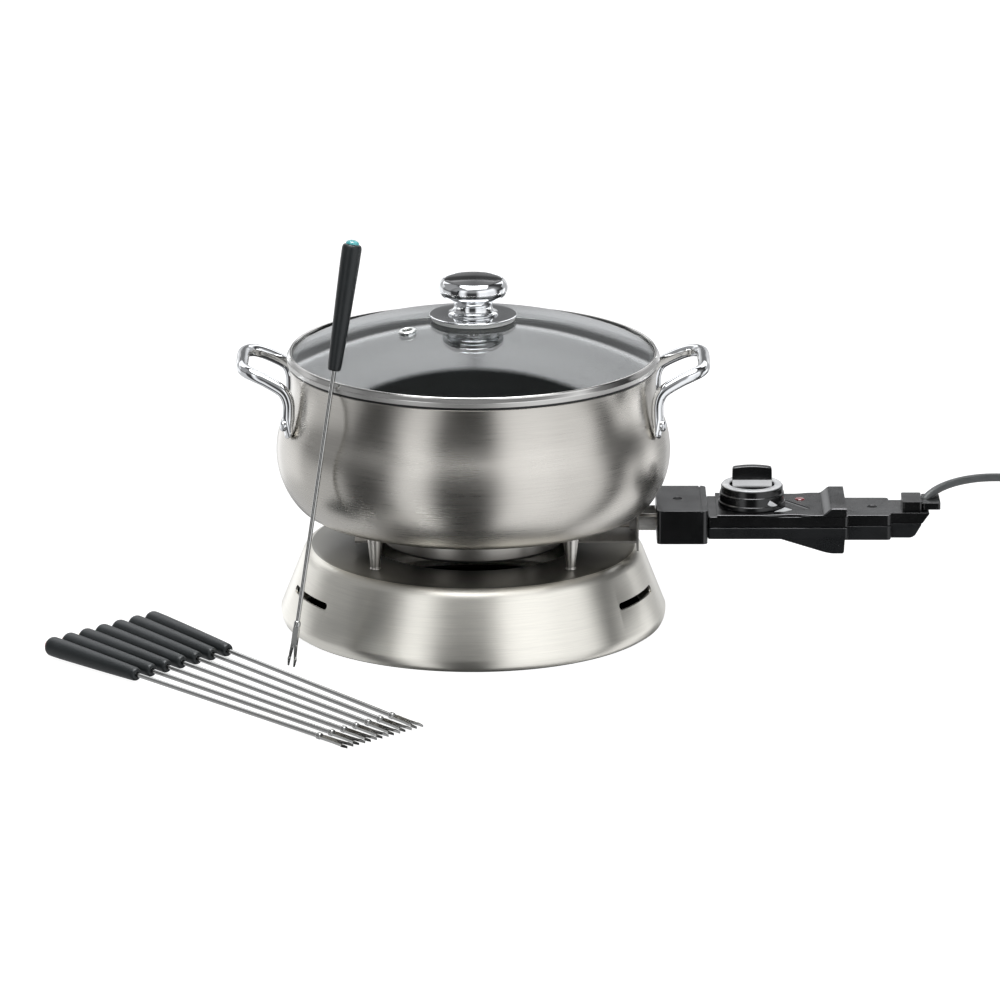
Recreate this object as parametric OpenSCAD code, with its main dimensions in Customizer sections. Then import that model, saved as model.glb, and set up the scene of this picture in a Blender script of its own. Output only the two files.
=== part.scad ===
// Electric fondue pot set: a skirted base, a pot on four posts, a glass lid,
// a plug-in temperature control with a dial and a mains cord, and eight forks.
// Origin: centre of the base's contact ring on the table. +Z up, +X to the control.

/* [Base] */
// Outer radius of the base at the table
base_r = 112.9; // [111:0.1:114]
// Height of the base's top plate
base_h = 46; // [44:0.5:47]
// Radius where the cone meets the top plate's shoulder
base_top_r = 99.5; // [97:0.5:102]
// Radius of the opening in the top plate
base_open_r = 60; // [56:1:62]
// Sheet thickness of the base
base_sheet = 1.2; // [1:0.1:1.6]
// Height of each vent slot
vent_h = 4; // [3:0.5:6]
// Angle that each vent slot spans
vent_span = 22; // [14:1:26]

/* [Pot] */
// Largest outer radius of the pot
belly_r = 115; // [113:0.5:116]
// Height of the widest circle
belly_z = 103; // [102:0.5:104]
// Radius of the narrow neck
neck_r = 106.4; // [106:0.2:107]
// Height of the neck
neck_z = 143; // [142:0.5:144]
// Height of the pot's rim
rim_z = 154.8; // [154:0.1:154.9]
// Radius of the lower belly arc
belly_arc = 45; // [43:1:47]
// Radius of the arc where belly meets floor
heel_arc = 14; // [12:1:15]
// Thickness of the steel shell
shell_t = 1.2; // [1:0.1:1.3]
// Thickness of the non-stick liner
liner_t = 1.4; // [1:0.1:1.6]

/* [Lid] */
// Outer radius of the lid's steel band
band_r = 108.6; // [108:0.1:109]
// Height of the lid's steel band
band_h = 7; // [6.5:0.5:8]
// Radius of the glass dome
dome_r = 272; // [268:1:276]
// Height of the top of the glass
dome_top = 181.8; // [181.5:0.1:182.2]
// Thickness of the glass
glass_t = 4; // [3.5:0.1:4]

/* [Control] */
// Height of the pins and the probe
pin_z = 60.6; // [60:0.1:61]
// Distance of each pin from the middle
pin_y = 12; // [11:0.5:13]
// Distance of the dial's axis from the pot's axis
dial_x = 163; // [161:1:165]
// Outer radius of the dial's skirt
dial_r = 19.8; // [18:0.1:20]

/* [Forks] */
// Length of each fork
fork_len = 249; // [246:1:252]
// Length of a fork's handle
grip_len = 76; // [70:1:77]
// Radius of a fork's rod
rod_r = 1.3; // [1.2:0.1:1.4]
// Number of forks lying on the table
lying = 7; // [7:1:7]

/* [Hidden] */
$fn = 96;

gap = 0.1;            // between nested parts of one assembly
run_gap = 0.06;       // radial clearance of a running or plug-in fit
edge = 1;             // how far a cutting shape runs past a face

// Base
base_band_h = 8;      // upright band at the table
base_lift = 0.6;      // sheet edge above the table
shoulder_arc = 3;
foot_h = 1.6;
foot_in = 102;
foot_out = 109;
vent_z = 25;
vent_mid = 25;        // angle of each slot's middle from the X axis
post_ring = 80;
post_low_r = 2.6;
post_top_r = 4.8;
screw_r = 1.6;

// Pot
floor_slope = 8;
floor_flat_r = 56;
belly_turn = 40;
shoulder_rise = (neck_z - belly_z) / 2;
shoulder_drop = (belly_r - neck_r) / 2;
shoulder_r = (shoulder_rise * shoulder_rise + shoulder_drop * shoulder_drop) / (2 * shoulder_drop);
shoulder_turn = asin(shoulder_rise / shoulder_r);
heel_c = [belly_r - belly_arc + (belly_arc - heel_arc) * cos(belly_turn),
          belly_z - (belly_arc - heel_arc) * sin(belly_turn)];
heel_end = [heel_c[0] + heel_arc * sin(floor_slope), heel_c[1] - heel_arc * cos(floor_slope)];
floor_z = heel_end[1] - (heel_end[0] - floor_flat_r) * tan(floor_slope);

// Heater and terminals
heater_r = 53.3;
heater_low = 48;
heater_wall = 1;
element_ring = 40;
element_r = 3.2;
element_z = floor_z - element_r - 0.6;
pin_r = 2.4;
insulator_r = 4;
probe_r = 2.5;
guard_x = 95.2;
guard_t = 1.2;
guard_y = 27;
wing_z = 53;
notch_y = 22;

// Handles
bar_r = 3.6;
// One half of a handle's centre line: the middle of the bar, the corner, the arm, the bend, the foot
grip_path = [[134.2, 0, 156.3], [134.2, 10, 156.3], [133.6, 18, 156.1], [131, 24.5, 155.5],
             [126.5, 28.5, 154.3], [120, 30.3, 151.6], [111.5, 32, 146.9], [108.2, 32.7, 143.2],
             [106.8, 33.3, 138.5], [106.7, 34.6, 133]];
foot_top = [106.9, 36.4, 127.5];
foot_low = [106.7, 39.4, 121.2];
foot_r = 2.4;
foot_half_w = 3.4;
rivet_head_r = 3.2;
rivet_head_h = 1.4;
rivet_turn = 19;      // angle of each rivet from the X axis
rivet_ring = 116.65;
rivet_z = 126.6;

// Lid
band_z = 155.05;
band_wall = 0.8;
band_lip = 2.6;
dome_c = dome_top - dome_r;
glass_edge = band_r - band_wall - 0.4;
vent_x = -38;
vent_y = -20.5;
plate_r = 25.6;       // knob plate
plate_z = 183.3;
plate_t = 0.9;
knob_z = plate_z + plate_t;

// Control
box_x0 = 107;
box_x1 = 136.6;
box_y = 27.5;
box_z0 = 52.3;
box_z1 = 72.3;
wall = 2;
split_z = 61;
face_z = 67.6;
face_t = 1.4;
face_end = 217.5;
main_x0 = 142;
tail_x = 217;
tip_x = 242;
end_x = 268;
neck_y = 22.5;
main_y = 23;
tail_y = 19;
tip_y = 14;
spindle_r = 3;
ring_z = 80.8;        // top of the dial's rim
fin_z = 92.6;         // top of the dial's grip
lens_x = 191.5;
lens_y = 10;
cord_r = 2.4;
clamp_x0 = 250.8;
clamp_x1 = 273;

// Forks
grip_end_r = 5.7;
grip_neck_r = 3.8;
head_len = 24;
head_t = 1.4;
tang = 30;
cap_r = 3.9;
cap_h = 2.6;
tip_lift = 0.9;
// Where the first and last lying fork's handle end and tip are on the table
first_grip = [-248.5, -74.6];
last_grip = [-192.5, -23.1];
first_tip = [-64.2, -253.6];
last_tip = [-26.6, -218.1];
// The eighth fork stands on its tip and leans on the lid's band
lean_tip = [-104.5, -99.6, 0.1];
lean_top = [-68.4, -63.3, 242.3];

function arc(c, r, a0, a1, n) =
    [for (i = [0:n]) let (a = a0 + (a1 - a0) * i / n) c + r * [cos(a), sin(a)]];
function reverse(list) = [for (i = [len(list) - 1:-1:0]) list[i]];
function mix(a, b, t) = a + (b - a) * t;
function bezier(p, t) =
    let (u = 1 - t)
    u * u * u * p[0] + 3 * u * u * t * p[1] + 3 * u * t * t * p[2] + t * t * t * p[3];

// Pot profile from the rim to the axis, moved inwards by t
function pot_profile(t, top) =
    let (neck_arc = shoulder_r + t,
         slope_z = heel_c[1] - (heel_arc - t) * cos(floor_slope),
         slope_r = heel_c[0] + (heel_arc - t) * sin(floor_slope))
    concat(
        arc([neck_r + shoulder_r, neck_z], neck_arc,
            180 - asin((top - neck_z) / neck_arc), 180 + shoulder_turn, 8),
        arc([belly_r - shoulder_r, belly_z], shoulder_r - t, shoulder_turn - 3, 0, 5),
        arc([belly_r - belly_arc, belly_z], belly_arc - t, -4, -belly_turn, 7),
        arc(heel_c, heel_arc - t, -belly_turn - 10, floor_slope - 90, 4),
        [[slope_r + (floor_z + t - slope_z) / tan(floor_slope), floor_z + t], [0, floor_z + t]]);

// A bent bar along a list of points
module bent_bar(points, r, facets = 12) {
    for (i = [0:len(points) - 2]) hull() {
        translate(points[i]) sphere(r = r, $fn = facets);
        translate(points[i + 1]) sphere(r = r, $fn = facets);
    }
}

// A block with round upright corners, between two corners of a box
module soft_block(low, high, r) {
    dx = high[0] - low[0];
    dy = high[1] - low[1];
    translate(low) linear_extrude(high[2] - low[2]) polygon(concat(
        arc([dx - r, dy - r], r, 0, 90, 5), arc([r, dy - r], r, 90, 180, 5),
        arc([r, r], r, 180, 270, 5), arc([dx - r, r], r, 270, 360, 5)));
}

module block(low, high) {
    translate(low) cube(high - low);
}

// A shape drawn in X and Z, spread evenly about Y = 0
module side_profile(points, half_y) {
    rotate([90, 0, 0]) translate([0, 0, -half_y]) linear_extrude(2 * half_y) polygon(points);
}

module along_x(x0, x1, r, y = 0, z = pin_z) {
    translate([x0, y, z]) rotate([0, 90, 0]) cylinder(r = r, h = x1 - x0);
}

// Base group ------------------------------------------------------------

module base_skirt() {
    shoulder_c = [base_top_r - shoulder_arc, base_h - shoulder_arc];
    color("silver") difference() {
        rotate_extrude($fn = 180) polygon(concat(
            [[base_r - 2, base_lift], [base_r - 0.6, base_band_h * 0.42], [base_r, base_band_h]],
            arc(shoulder_c, shoulder_arc, 18, 90, 5),
            [[base_open_r, base_h], [base_open_r, base_h - base_sheet]],
            arc(shoulder_c, shoulder_arc - base_sheet, 90, 18, 4),
            [[base_r - base_sheet, base_band_h], [base_r - base_sheet - 0.6, base_band_h * 0.46],
             [base_r - base_sheet - 1, foot_h + base_sheet],
             [foot_in, foot_h + base_sheet], [foot_in, foot_h + 0.05],
             [base_r - 3.3, foot_h + 0.05], [base_r - 3.3, base_lift]]));
        for (side = [0, 180], turn = [-1, 1])
            rotate([0, 0, side + turn * vent_mid - vent_span / 2]) translate([0, 0, vent_z - vent_h / 2])
                rotate_extrude(angle = vent_span) translate([90, 0]) square([40, vent_h]);
        for (a = [45:90:315])
            rotate([0, 0, a]) translate([post_ring, 0, base_h - base_sheet - edge])
                cylinder(r = screw_r + 0.2, h = base_sheet + 2 * edge);
    }
}

module foot_ring() {
    color("dimgray") rotate_extrude($fn = 180)
        polygon([[foot_in + 0.5, 0], [foot_out, 0], [foot_out, foot_h], [foot_in + 0.5, foot_h]]);
}

module support_posts() {
    top_z = floor_z + (post_ring + post_top_r - floor_flat_r) * tan(floor_slope) + 2;
    color("lightgray") difference() {
        for (a = [45:90:315]) rotate([0, 0, a]) translate([post_ring, 0, base_h + 0.05])
            cylinder(r1 = post_low_r, r2 = post_top_r, h = top_z - base_h);
        rotate_extrude() polygon(concat([[0, top_z + 20]],
            [[130, top_z + 20], [130, floor_z + (130 - floor_flat_r) * tan(floor_slope) - gap]],
            [[floor_flat_r, floor_z - gap], [0, floor_z - gap]]));
        for (a = [45:90:315]) rotate([0, 0, a]) translate([post_ring, 0, base_h - edge])
            cylinder(r = screw_r + run_gap, h = 15);
    }
}

module post_screws() {
    head_r = 3.4;
    head_h = 2.2;
    color("gray") for (a = [45:90:315]) rotate([0, 0, a])
        translate([post_ring, 0, base_h - base_sheet - head_h - 0.05]) {
            cylinder(r = head_r, h = head_h);
            translate([0, 0, head_h - 0.5]) cylinder(r = screw_r, h = 14);
        }
}

module pot_shell() {
    color("silver") rotate_extrude($fn = 180)
        polygon(concat(pot_profile(0, rim_z), reverse(pot_profile(shell_t, rim_z))));
}

module nonstick_liner() {
    start = shell_t + gap;
    color("dimgray") rotate_extrude($fn = 180)
        polygon(concat(pot_profile(start, rim_z - 1), reverse(pot_profile(start + liner_t, rim_z - 1))));
}

module heater_housing() {
    top_z = floor_z - gap;
    color("gainsboro") difference() {
        translate([0, 0, heater_low]) cylinder(r = heater_r, h = top_z - heater_low, $fn = 180);
        translate([0, 0, heater_low + heater_wall])
            cylinder(r = heater_r - heater_wall, h = top_z, $fn = 180);
        block([heater_r - 12, -notch_y, wing_z + 2], [heater_r + 5, notch_y, top_z + edge]);
    }
}

module heating_element() {
    end_angle = asin(pin_y / element_ring);
    color("dimgray") {
        translate([0, 0, element_z]) rotate([0, 0, end_angle]) rotate_extrude(angle = 360 - 2 * end_angle)
            translate([element_ring, 0]) circle(r = element_r, $fn = 32);
        for (y = [-pin_y, pin_y])
            along_x(element_ring * cos(end_angle) - element_r * 0.8, 56, element_r * 0.8, y, element_z);
    }
}

module terminal_pins() {
    color("lightgray") for (y = [-pin_y, pin_y]) along_x(56 + gap, 122, pin_r, y);
}

module terminal_insulators() {
    color("whitesmoke") for (y = [-pin_y, pin_y]) difference() {
        along_x(guard_x - 4, box_x0 - 0.4, insulator_r, y);
        along_x(guard_x - 4 - edge, box_x0 + edge, pin_r + run_gap, y);
    }
}

// Two wings on the heater housing; the right one ends in an upright plate that
// carries the terminals and the tube that takes the sensor
module terminal_guard() {
    tube_r = probe_r + run_gap;
    color("lightgray") {
        difference() {
            union() {
                block([45, -guard_y, wing_z], [guard_x + 0.5, guard_y, wing_z + guard_t]);
                block([guard_x, -guard_y, heater_low], [guard_x + guard_t, guard_y, 66]);
                along_x(68, guard_x + 0.5, tube_r + 0.8);
            }
            cylinder(r = heater_r + gap, h = 100, $fn = 180);
            along_x(60, guard_x + 5, tube_r);
            for (y = [-pin_y, pin_y]) along_x(60, guard_x + 5, insulator_r + run_gap, y);
        }
        difference() {
            block([-69, -guard_y, wing_z], [-45, guard_y, wing_z + guard_t]);
            cylinder(r = heater_r + gap, h = 100, $fn = 180);
        }
    }
}

// One half of a handle, from the middle of the bar to its riveted foot
module half_handle() {
    bent_bar(concat(grip_path, [foot_top]), bar_r);
    hull() {
        translate(foot_top) sphere(r = bar_r, $fn = 12);
        for (s = [-1, 1]) translate(foot_low + [-0.34 * s, 0.94 * s, 0] * foot_half_w)
            sphere(r = foot_r * 0.8, $fn = 12);
    }
}

module handle() {
    half_handle();
    mirror([0, 1, 0]) half_handle();
}

module left_handle() {
    color("silver") mirror([1, 0, 0]) handle();
}

module right_handle() {
    color("silver") handle();
}

module handle_rivets() {
    color("whitesmoke") for (side = [0, 180], turn = [-1, 1])
        rotate([0, 0, side + turn * rivet_turn]) translate([rivet_ring, 0, rivet_z])
            rotate([0, 90, 0]) cylinder(r = rivet_head_r, h = rivet_head_h);
}

// Lid group -------------------------------------------------------------

function dome_z(x, r) = dome_c + sqrt(r * r - x * x);

module lid_glass() {
    low_r = dome_r - glass_t;
    color("lightblue") difference() {
        rotate_extrude($fn = 180) polygon(concat(
            [for (i = [0:14]) let (x = glass_edge * i / 14) [x, dome_z(x, dome_r)]],
            [for (i = [14:-1:0]) let (x = glass_edge * i / 14) [x, dome_z(x, low_r)]]));
        translate([0, 0, dome_top - 20]) cylinder(r = 3, h = 40);
        on_dome() translate([0, 0, -10]) cylinder(r = 4.3, h = 20);
    }
}

// Places its children on the outside of the glass at the vent, facing outwards
module on_dome() {
    away = sqrt(vent_x * vent_x + vent_y * vent_y);
    tilt = asin(away / dome_r);
    translate([0, 0, dome_c]) rotate([0, 0, atan2(vent_y, vent_x)]) rotate([0, tilt, 0])
        translate([0, 0, dome_r]) children();
}

module lid_rim_band() {
    top = band_z + band_h;
    edge_z = dome_z(glass_edge, dome_r);
    low_z = dome_z(glass_edge, dome_r - glass_t);
    color("silver") rotate_extrude($fn = 180) polygon([
        [101.9, band_z - 2.4], [102.7, band_z - 2.4], [102.7, band_z], [band_r, band_z],
        [band_r, top - 0.6], [band_r - 0.6, top], [band_r - band_lip, top],
        [band_r - band_lip, edge_z + 0.75], [glass_edge + 0.15, edge_z + 0.2],
        [glass_edge + 0.15, low_z - 0.15],
        [101.9, low_z - 0.15]]);
}

module vent_grommet() {
    color("silver") on_dome() difference() {
        union() {
            translate([0, 0, 0.15]) cylinder(r = 5.3, h = 1.3);
            translate([0, 0, -glass_t - 1]) cylinder(r = 4.2, h = glass_t + 1.5);
            translate([0, 0, -glass_t - 1.1]) cylinder(r = 5.1, h = 0.95);
        }
        translate([0, 0, -10]) cylinder(r = 2.8, h = 20);
    }
}

module knob_escutcheon() {
    low = dome_top + 0.1;
    skirt_low = dome_top - 0.85;   // the skirt follows the dome down to just above the glass
    skirt_r = plate_r - 1;
    rim = [[plate_r - 0.3, plate_z], [plate_r, plate_z + 0.25], [plate_r, knob_z - 0.25],
           [plate_r - 0.3, knob_z]];
    color("silver") difference() {
        rotate_extrude() polygon(concat([[0, low], [13, low], [13, plate_z], [skirt_r - 1.6, plate_z],
            [skirt_r - 1.6, skirt_low], [skirt_r, skirt_low], [skirt_r, plate_z]], rim, [[0, knob_z]]));
        translate([0, 0, dome_top - 5]) cylinder(r = 2.6, h = 15);
    }
}

module lid_knob() {
    foot_r = 14.4;
    throat_r = 11.2;
    head_z = 199.7;
    ring_c = [14.1, head_z];
    color("silver") difference() {
        rotate_extrude() polygon(concat(
            [[0, knob_z + 0.05], [foot_r, knob_z + 0.05], [foot_r, knob_z + 0.7]],
            arc([foot_r + 0.4, knob_z + 4.3], 3.6, 262, 180, 6),
            [[throat_r, 190.6], [12, 192.8]],
            arc(ring_c, 6, -90, 60, 12),
            [[16.4, 204.7], [8, 205.6], [0, 205.9]]));
        translate([0, 0, knob_z - edge]) cylinder(r = 2 + run_gap, h = 12);
    }
}

module knob_screw() {
    head_z = dome_top - glass_t - 0.1;
    color("gray") {
        translate([0, 0, head_z - 3]) cylinder(r = 4.5, h = 3);
        translate([0, 0, head_z - 1]) cylinder(r = 2, h = knob_z + 9 - head_z + 1);
    }
}

// Control group ---------------------------------------------------------

module plug_housing() {
    color("#222222") difference() {
        soft_block([box_x0, -box_y, box_z0], [box_x1, box_y, box_z1], 3);
        block([box_x0 + wall, wall - box_y, box_z0 + wall], [box_x1 - wall, box_y - wall, box_z1 - wall]);
        for (y = [-pin_y, pin_y]) along_x(box_x0 - edge, box_x0 + wall + edge, pin_r + 0.6, y);
        along_x(box_x0 - edge, box_x1 + edge, probe_r + run_gap);
        for (y = [-7, 7]) along_x(box_x1 - wall - edge, box_x1 + edge, 1.5, y);
        translate([119.5, 0, box_z1 - 1.2]) cylinder(r = 2.8, h = 5);
        translate([119.5, 0, box_z1 - 5]) cylinder(r = 1.6, h = 5);
    }
}

// Plan outline shared by both housings, from z0 to z1
module control_plan(z0, z1, inset = 0) {
    block([box_x1 + gap + inset, inset - neck_y, z0], [main_x0 + 2 * wall, neck_y - inset, z1]);
    soft_block([main_x0 + inset, inset - main_y, z0], [tail_x + wall - inset, main_y - inset, z1], 2);
    soft_block([tail_x - wall + inset, inset - tail_y, z0], [tip_x + wall - inset, tail_y - inset, z1], 2);
    soft_block([tip_x - 2 * wall + inset, inset - tip_y, z0], [end_x - inset, tip_y - inset, z1], 2);
}

module control_lower_housing() {
    low_z = 52.3;
    main_low = 54;
    color("#1c1c1c") difference() {
        union() {
            intersection() {
                control_plan(low_z, split_z - 0.05);
                side_profile([[130, main_low], [tail_x, main_low], [tail_x, low_z], [256.2, low_z],
                              [262.2, split_z], [130, split_z]], 40);
            }
            side_profile([[177, main_low + 0.5], [207, 45.3], [216, 45.3], [216.4, main_low + 0.5]], 22.6);
        }
        intersection() {
            control_plan(main_low + wall, split_z + edge, wall);
            block([0, -40, 0], [250, 40, 100]);
        }
        along_x(box_x1 - edge, 150, probe_r + run_gap);
    }
}

module control_upper_housing() {
    top_z = face_z - 0.05;
    color("#222222") difference() {
        intersection() {
            control_plan(split_z, top_z);
            side_profile([[130, split_z], [262.4, split_z], [266.8, top_z], [130, top_z]], 40);
        }
        intersection() {
            control_plan(split_z - edge, top_z - wall, wall);
            block([0, -40, 0], [252, 40, 100]);
        }
        along_x(box_x1 - edge, 150, probe_r + run_gap);
        translate([dial_x, 0, split_z]) cylinder(r = spindle_r + 1, h = 20);
        translate([lens_x, lens_y, split_z]) cylinder(r = 2, h = 20);
        translate([233.5, 0, top_z - 1.2]) cylinder(r = 2.8, h = 5);
        translate([233.5, 0, top_z - 5]) cylinder(r = 1.6, h = 8);
    }
}

module control_faceplate() {
    top = face_z + face_t;
    half = [[main_x0 + gap, 20], [main_x0 + 3, 24.2], [168, 24.2], [185, 22.6], [198, 24.6],
            [face_end, 24.6]];
    plan = concat([for (p = half) [p[0], -p[1]]], reverse(half));
    color("#2b2b2b") difference() {
        union() {
            translate([0, 0, face_z]) linear_extrude(face_t) polygon(plan);
            side_profile([[203, top - 0.2], [209, top + 4], [face_end, top + 4],
                          [face_end, top - 0.2]], 24.6);
        }
        translate([dial_x, 0, face_z - edge]) cylinder(r = spindle_r + run_gap, h = 5);
        translate([lens_x, lens_y, face_z - edge]) cylinder(r = 3 + gap, h = 5);
    }
}

module indicator_lens() {
    color("red") translate([lens_x, lens_y, face_z + 0.05]) {
        cylinder(r = 3, h = face_t + 0.7);
        translate([0, 0, -1.9]) cylinder(r = 1.9, h = 2.5);
    }
}

module sensor_probe() {
    color("lightgray") {
        along_x(75, 149, probe_r);
        translate([72.5, 0, pin_z]) rotate([0, 90, 0]) cylinder(r1 = 1.6, r2 = probe_r, h = 2.5);
    }
}

module contact_sleeves() {
    color("goldenrod") for (y = [-pin_y, pin_y]) difference() {
        along_x(box_x0 + wall + 0.4, 128, 4, y);
        along_x(box_x0, 130, pin_r + run_gap, y);
    }
}

module thermostat_block() {
    color("tan") difference() {
        block([150, -12, 57], [178, 12, 64.6]);
        translate([dial_x, 0, 50]) cylinder(r = spindle_r + run_gap, h = 20);
    }
}

module recessed_screw(x, top, depth) {
    translate([x, 0, top - 1.2 - 1.3]) difference() {
        translate([0, 0, 1.35]) cylinder(r = 2.6, h = 0.9);
        translate([-1.8, -0.3, 1.8]) cube([3.6, 0.6, 1]);
    }
    translate([x, 0, top - 1.2 - depth]) cylinder(r = 1.5, h = depth + 0.3);
}

module housing_screws() {
    color("gray") {
        recessed_screw(119.5, box_z1, 5);
        recessed_screw(233.5, face_z - 0.05, 8);
    }
}

// The cord leaves the clamp, bends back and down to the table, and loops to the plug
cord_curves = [
    [[264.3, 1, 71.1], [272, 8, 79.5], [296, 34, 78], [325, 60, 67.2]],
    [[325, 60, 67.2], [352, 84.2, 57.1], [342, 126, 2.5], [366, 130, 2.5]],
    [[366, 130, 2.5], [404, 136, 2.5], [408, 60, 2.5], [382, 20, 2.5]],
    [[382, 20, 2.5], [364, -9, 2.5], [352, -30, 8], [352, -59, 8.5]]];
cord_steps = 10;

module cord_clamp() {
    top = face_z;
    half_y = 10.5;
    joint_x = 262.2;
    start = cord_curves[0][0];
    first = [for (i = [0:4]) bezier(cord_curves[0], i / cord_steps)];
    color("#222222") difference() {
        union() {
            soft_block([clamp_x0, -half_y, top], [joint_x, half_y, top + 5.4], 1.5);
            soft_block([joint_x + 0.3, -half_y, top + 0.8], [clamp_x1, half_y, top + 4.6], 1.5);
            block([joint_x - 2, -8, top + 1.2], [joint_x + 2, 8, top + 4]);
        }
        bent_bar(concat([start - [0.25, 0.2, 0.25]], first), cord_r + 0.2, 10);
    }
}

module power_cord() {
    points = [for (c = cord_curves, i = [0:cord_steps - 1]) bezier(c, i / cord_steps)];
    color("gray") bent_bar(concat(points, [cord_curves[3][3]]), cord_r, 10);
}

module plug_body() {
    color("#303030") difference() {
        union() {
            soft_block([340.5, -98, 0.1], [363.5, -66, 16.9], 4);
            translate([352, -66 + edge, 8.5]) rotate([-90, 0, 0]) cylinder(r1 = 6, r2 = 4, h = 12);
        }
        translate([352, -62, 8.5]) rotate([-90, 0, 0]) cylinder(r = cord_r + 0.6, h = 20);
        for (s = [-1, 1]) block([352 + s * 6.35 - 0.8, -104, 5.2], [352 + s * 6.35 + 0.8, -89.9, 11.8]);
    }
}

module plug_blades() {
    color("lightgray") for (s = [-1, 1])
        block([352 + s * 6.35 - 0.75, -115, 5.3], [352 + s * 6.35 + 0.75, -90, 11.7]);
}

// Dial ------------------------------------------------------------------

module dial_knob() {
    foot = face_z + face_t + 0.15;
    color("black") translate([dial_x, 0, 0]) difference() {
        union() {
            rotate_extrude() polygon([[0, foot], [dial_r, foot], [18.4, ring_z - 0.4], [17.9, ring_z],
                                      [12.9, ring_z], [12.9, ring_z - 2.5], [0, ring_z - 2.5]]);
            soft_block([-11.7, -2.2, ring_z - 3], [11.7, 2.2, fin_z], 1.5);
        }
        translate([0, 0, foot - edge]) cylinder(r = spindle_r + run_gap, h = 8.2);
    }
}

module dial_ring() {
    color("lightgray") translate([dial_x, 0, 0]) difference() {
        translate([0, 0, ring_z + 0.05]) cylinder(r = 17.7, h = 0.9);
        translate([0, 0, 79]) cylinder(r = 13, h = 4);
    }
}

module dial_spindle() {
    color("silver") translate([dial_x, 0, 57.5]) cylinder(r = spindle_r, h = 18.6);
}

// Forks -----------------------------------------------------------------

// Each fork is drawn along +Z from its tip at the origin, tines flat in the XZ plane
module fork_prongs() {
    half = [[1, head_len + 2.5], [1.9, head_len], [2.2, head_len - 2], [2.2, 13], [2.6, 6],
            [3.2, 4.8], [2.3, 0], [1.8, 5], [0.7, 11.5], [0.35, 12.6], [0, 13]];
    color("gainsboro") {
        rotate([90, 0, 0]) translate([0, 0, -head_t / 2]) linear_extrude(head_t)
            polygon(concat([for (p = half) [-p[0], p[1]]], reverse(half)));
        translate([0, 0, head_len]) cylinder(r = 2, h = 3, $fn = 48);
        translate([0, 0, head_len]) cylinder(r = rod_r, h = fork_len - grip_len - head_len + tang, $fn = 48);
    }
}

module fork_handle() {
    neck_z0 = fork_len - grip_len;
    color("darkslategray") difference() {
        rotate_extrude($fn = 64) polygon([[0, neck_z0], [3.1, neck_z0], [grip_neck_r, neck_z0 + 1.6],
            [grip_end_r, fork_len - 5], [grip_end_r - 0.5, fork_len - 3.1],
            [cap_r + 0.25, fork_len - cap_h], [0, fork_len - cap_h]]);
        translate([0, 0, neck_z0 - edge]) cylinder(r = rod_r + run_gap, h = tang + 2 * edge, $fn = 48);
    }
}

module fork_cap() {
    low = fork_len - cap_h + 0.05;
    rotate_extrude($fn = 64) polygon([[0, low], [cap_r, low], [cap_r, low + 0.6],
        [cap_r * 0.86, low + 1.5], [cap_r * 0.5, low + 2.3], [0, fork_len]]);
}

// Places fork i: 1 to 7 lie on the table in a fan, 8 leans on the lid's band
module place_fork(i) {
    t = (i - 1) / (lying - 1);
    grip = mix(first_grip, last_grip, t);
    far = mix(first_tip, last_tip, t);
    tip = mix(grip, far, 0.5 + 0.5 * fork_len / norm(far - grip));
    low = i > lying ? lean_tip : [tip[0], tip[1], tip_lift];
    lying_run = [grip[0] - tip[0], grip[1] - tip[1], grip_end_r - tip_lift + 0.15];
    run = i > lying ? lean_top - lean_tip : lying_run;
    flat = sqrt(run[0] * run[0] + run[1] * run[1]);
    translate(low) rotate([0, atan2(flat, run[2]), atan2(run[1], run[0])]) rotate([0, 0, 90]) children();
}

base_skirt();
foot_ring();
support_posts();
post_screws();
pot_shell();
nonstick_liner();
heater_housing();
heating_element();
terminal_pins();
terminal_insulators();
terminal_guard();
left_handle();
right_handle();
handle_rivets();
lid_glass();
lid_rim_band();
vent_grommet();
lid_knob();
knob_escutcheon();
knob_screw();
plug_housing();
control_upper_housing();
control_lower_housing();
control_faceplate();
indicator_lens();
sensor_probe();
contact_sleeves();
thermostat_block();
housing_screws();
cord_clamp();
power_cord();
plug_body();
plug_blades();
dial_knob();
dial_ring();
dial_spindle();
place_fork(1) fork_handle();  // fork_1_handle
place_fork(1) fork_prongs();  // fork_1_prongs
place_fork(1) color("crimson") fork_cap();  // fork_1_cap
place_fork(2) fork_handle();  // fork_2_handle
place_fork(2) fork_prongs();  // fork_2_prongs
place_fork(2) color("orange") fork_cap();  // fork_2_cap
place_fork(3) fork_handle();  // fork_3_handle
place_fork(3) fork_prongs();  // fork_3_prongs
place_fork(3) color("gold") fork_cap();  // fork_3_cap
place_fork(4) fork_handle();  // fork_4_handle
place_fork(4) fork_prongs();  // fork_4_prongs
place_fork(4) color("seagreen") fork_cap();  // fork_4_cap
place_fork(5) fork_handle();  // fork_5_handle
place_fork(5) fork_prongs();  // fork_5_prongs
place_fork(5) color("royalblue") fork_cap();  // fork_5_cap
place_fork(6) fork_handle();  // fork_6_handle
place_fork(6) fork_prongs();  // fork_6_prongs
place_fork(6) color("mediumorchid") fork_cap();  // fork_6_cap
place_fork(7) fork_handle();  // fork_7_handle
place_fork(7) fork_prongs();  // fork_7_prongs
place_fork(7) color("ivory") fork_cap();  // fork_7_cap
place_fork(8) fork_handle();  // fork_8_handle
place_fork(8) fork_prongs();  // fork_8_prongs
place_fork(8) color("teal") fork_cap();  // fork_8_cap
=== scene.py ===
"""The finished look of an electric fondue pot set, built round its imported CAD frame."""
from math import asin, atan2, cos, degrees, hypot, pi, radians, sin, sqrt, tan

import bmesh
import bpy
from mathutils import Matrix, Vector


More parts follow.
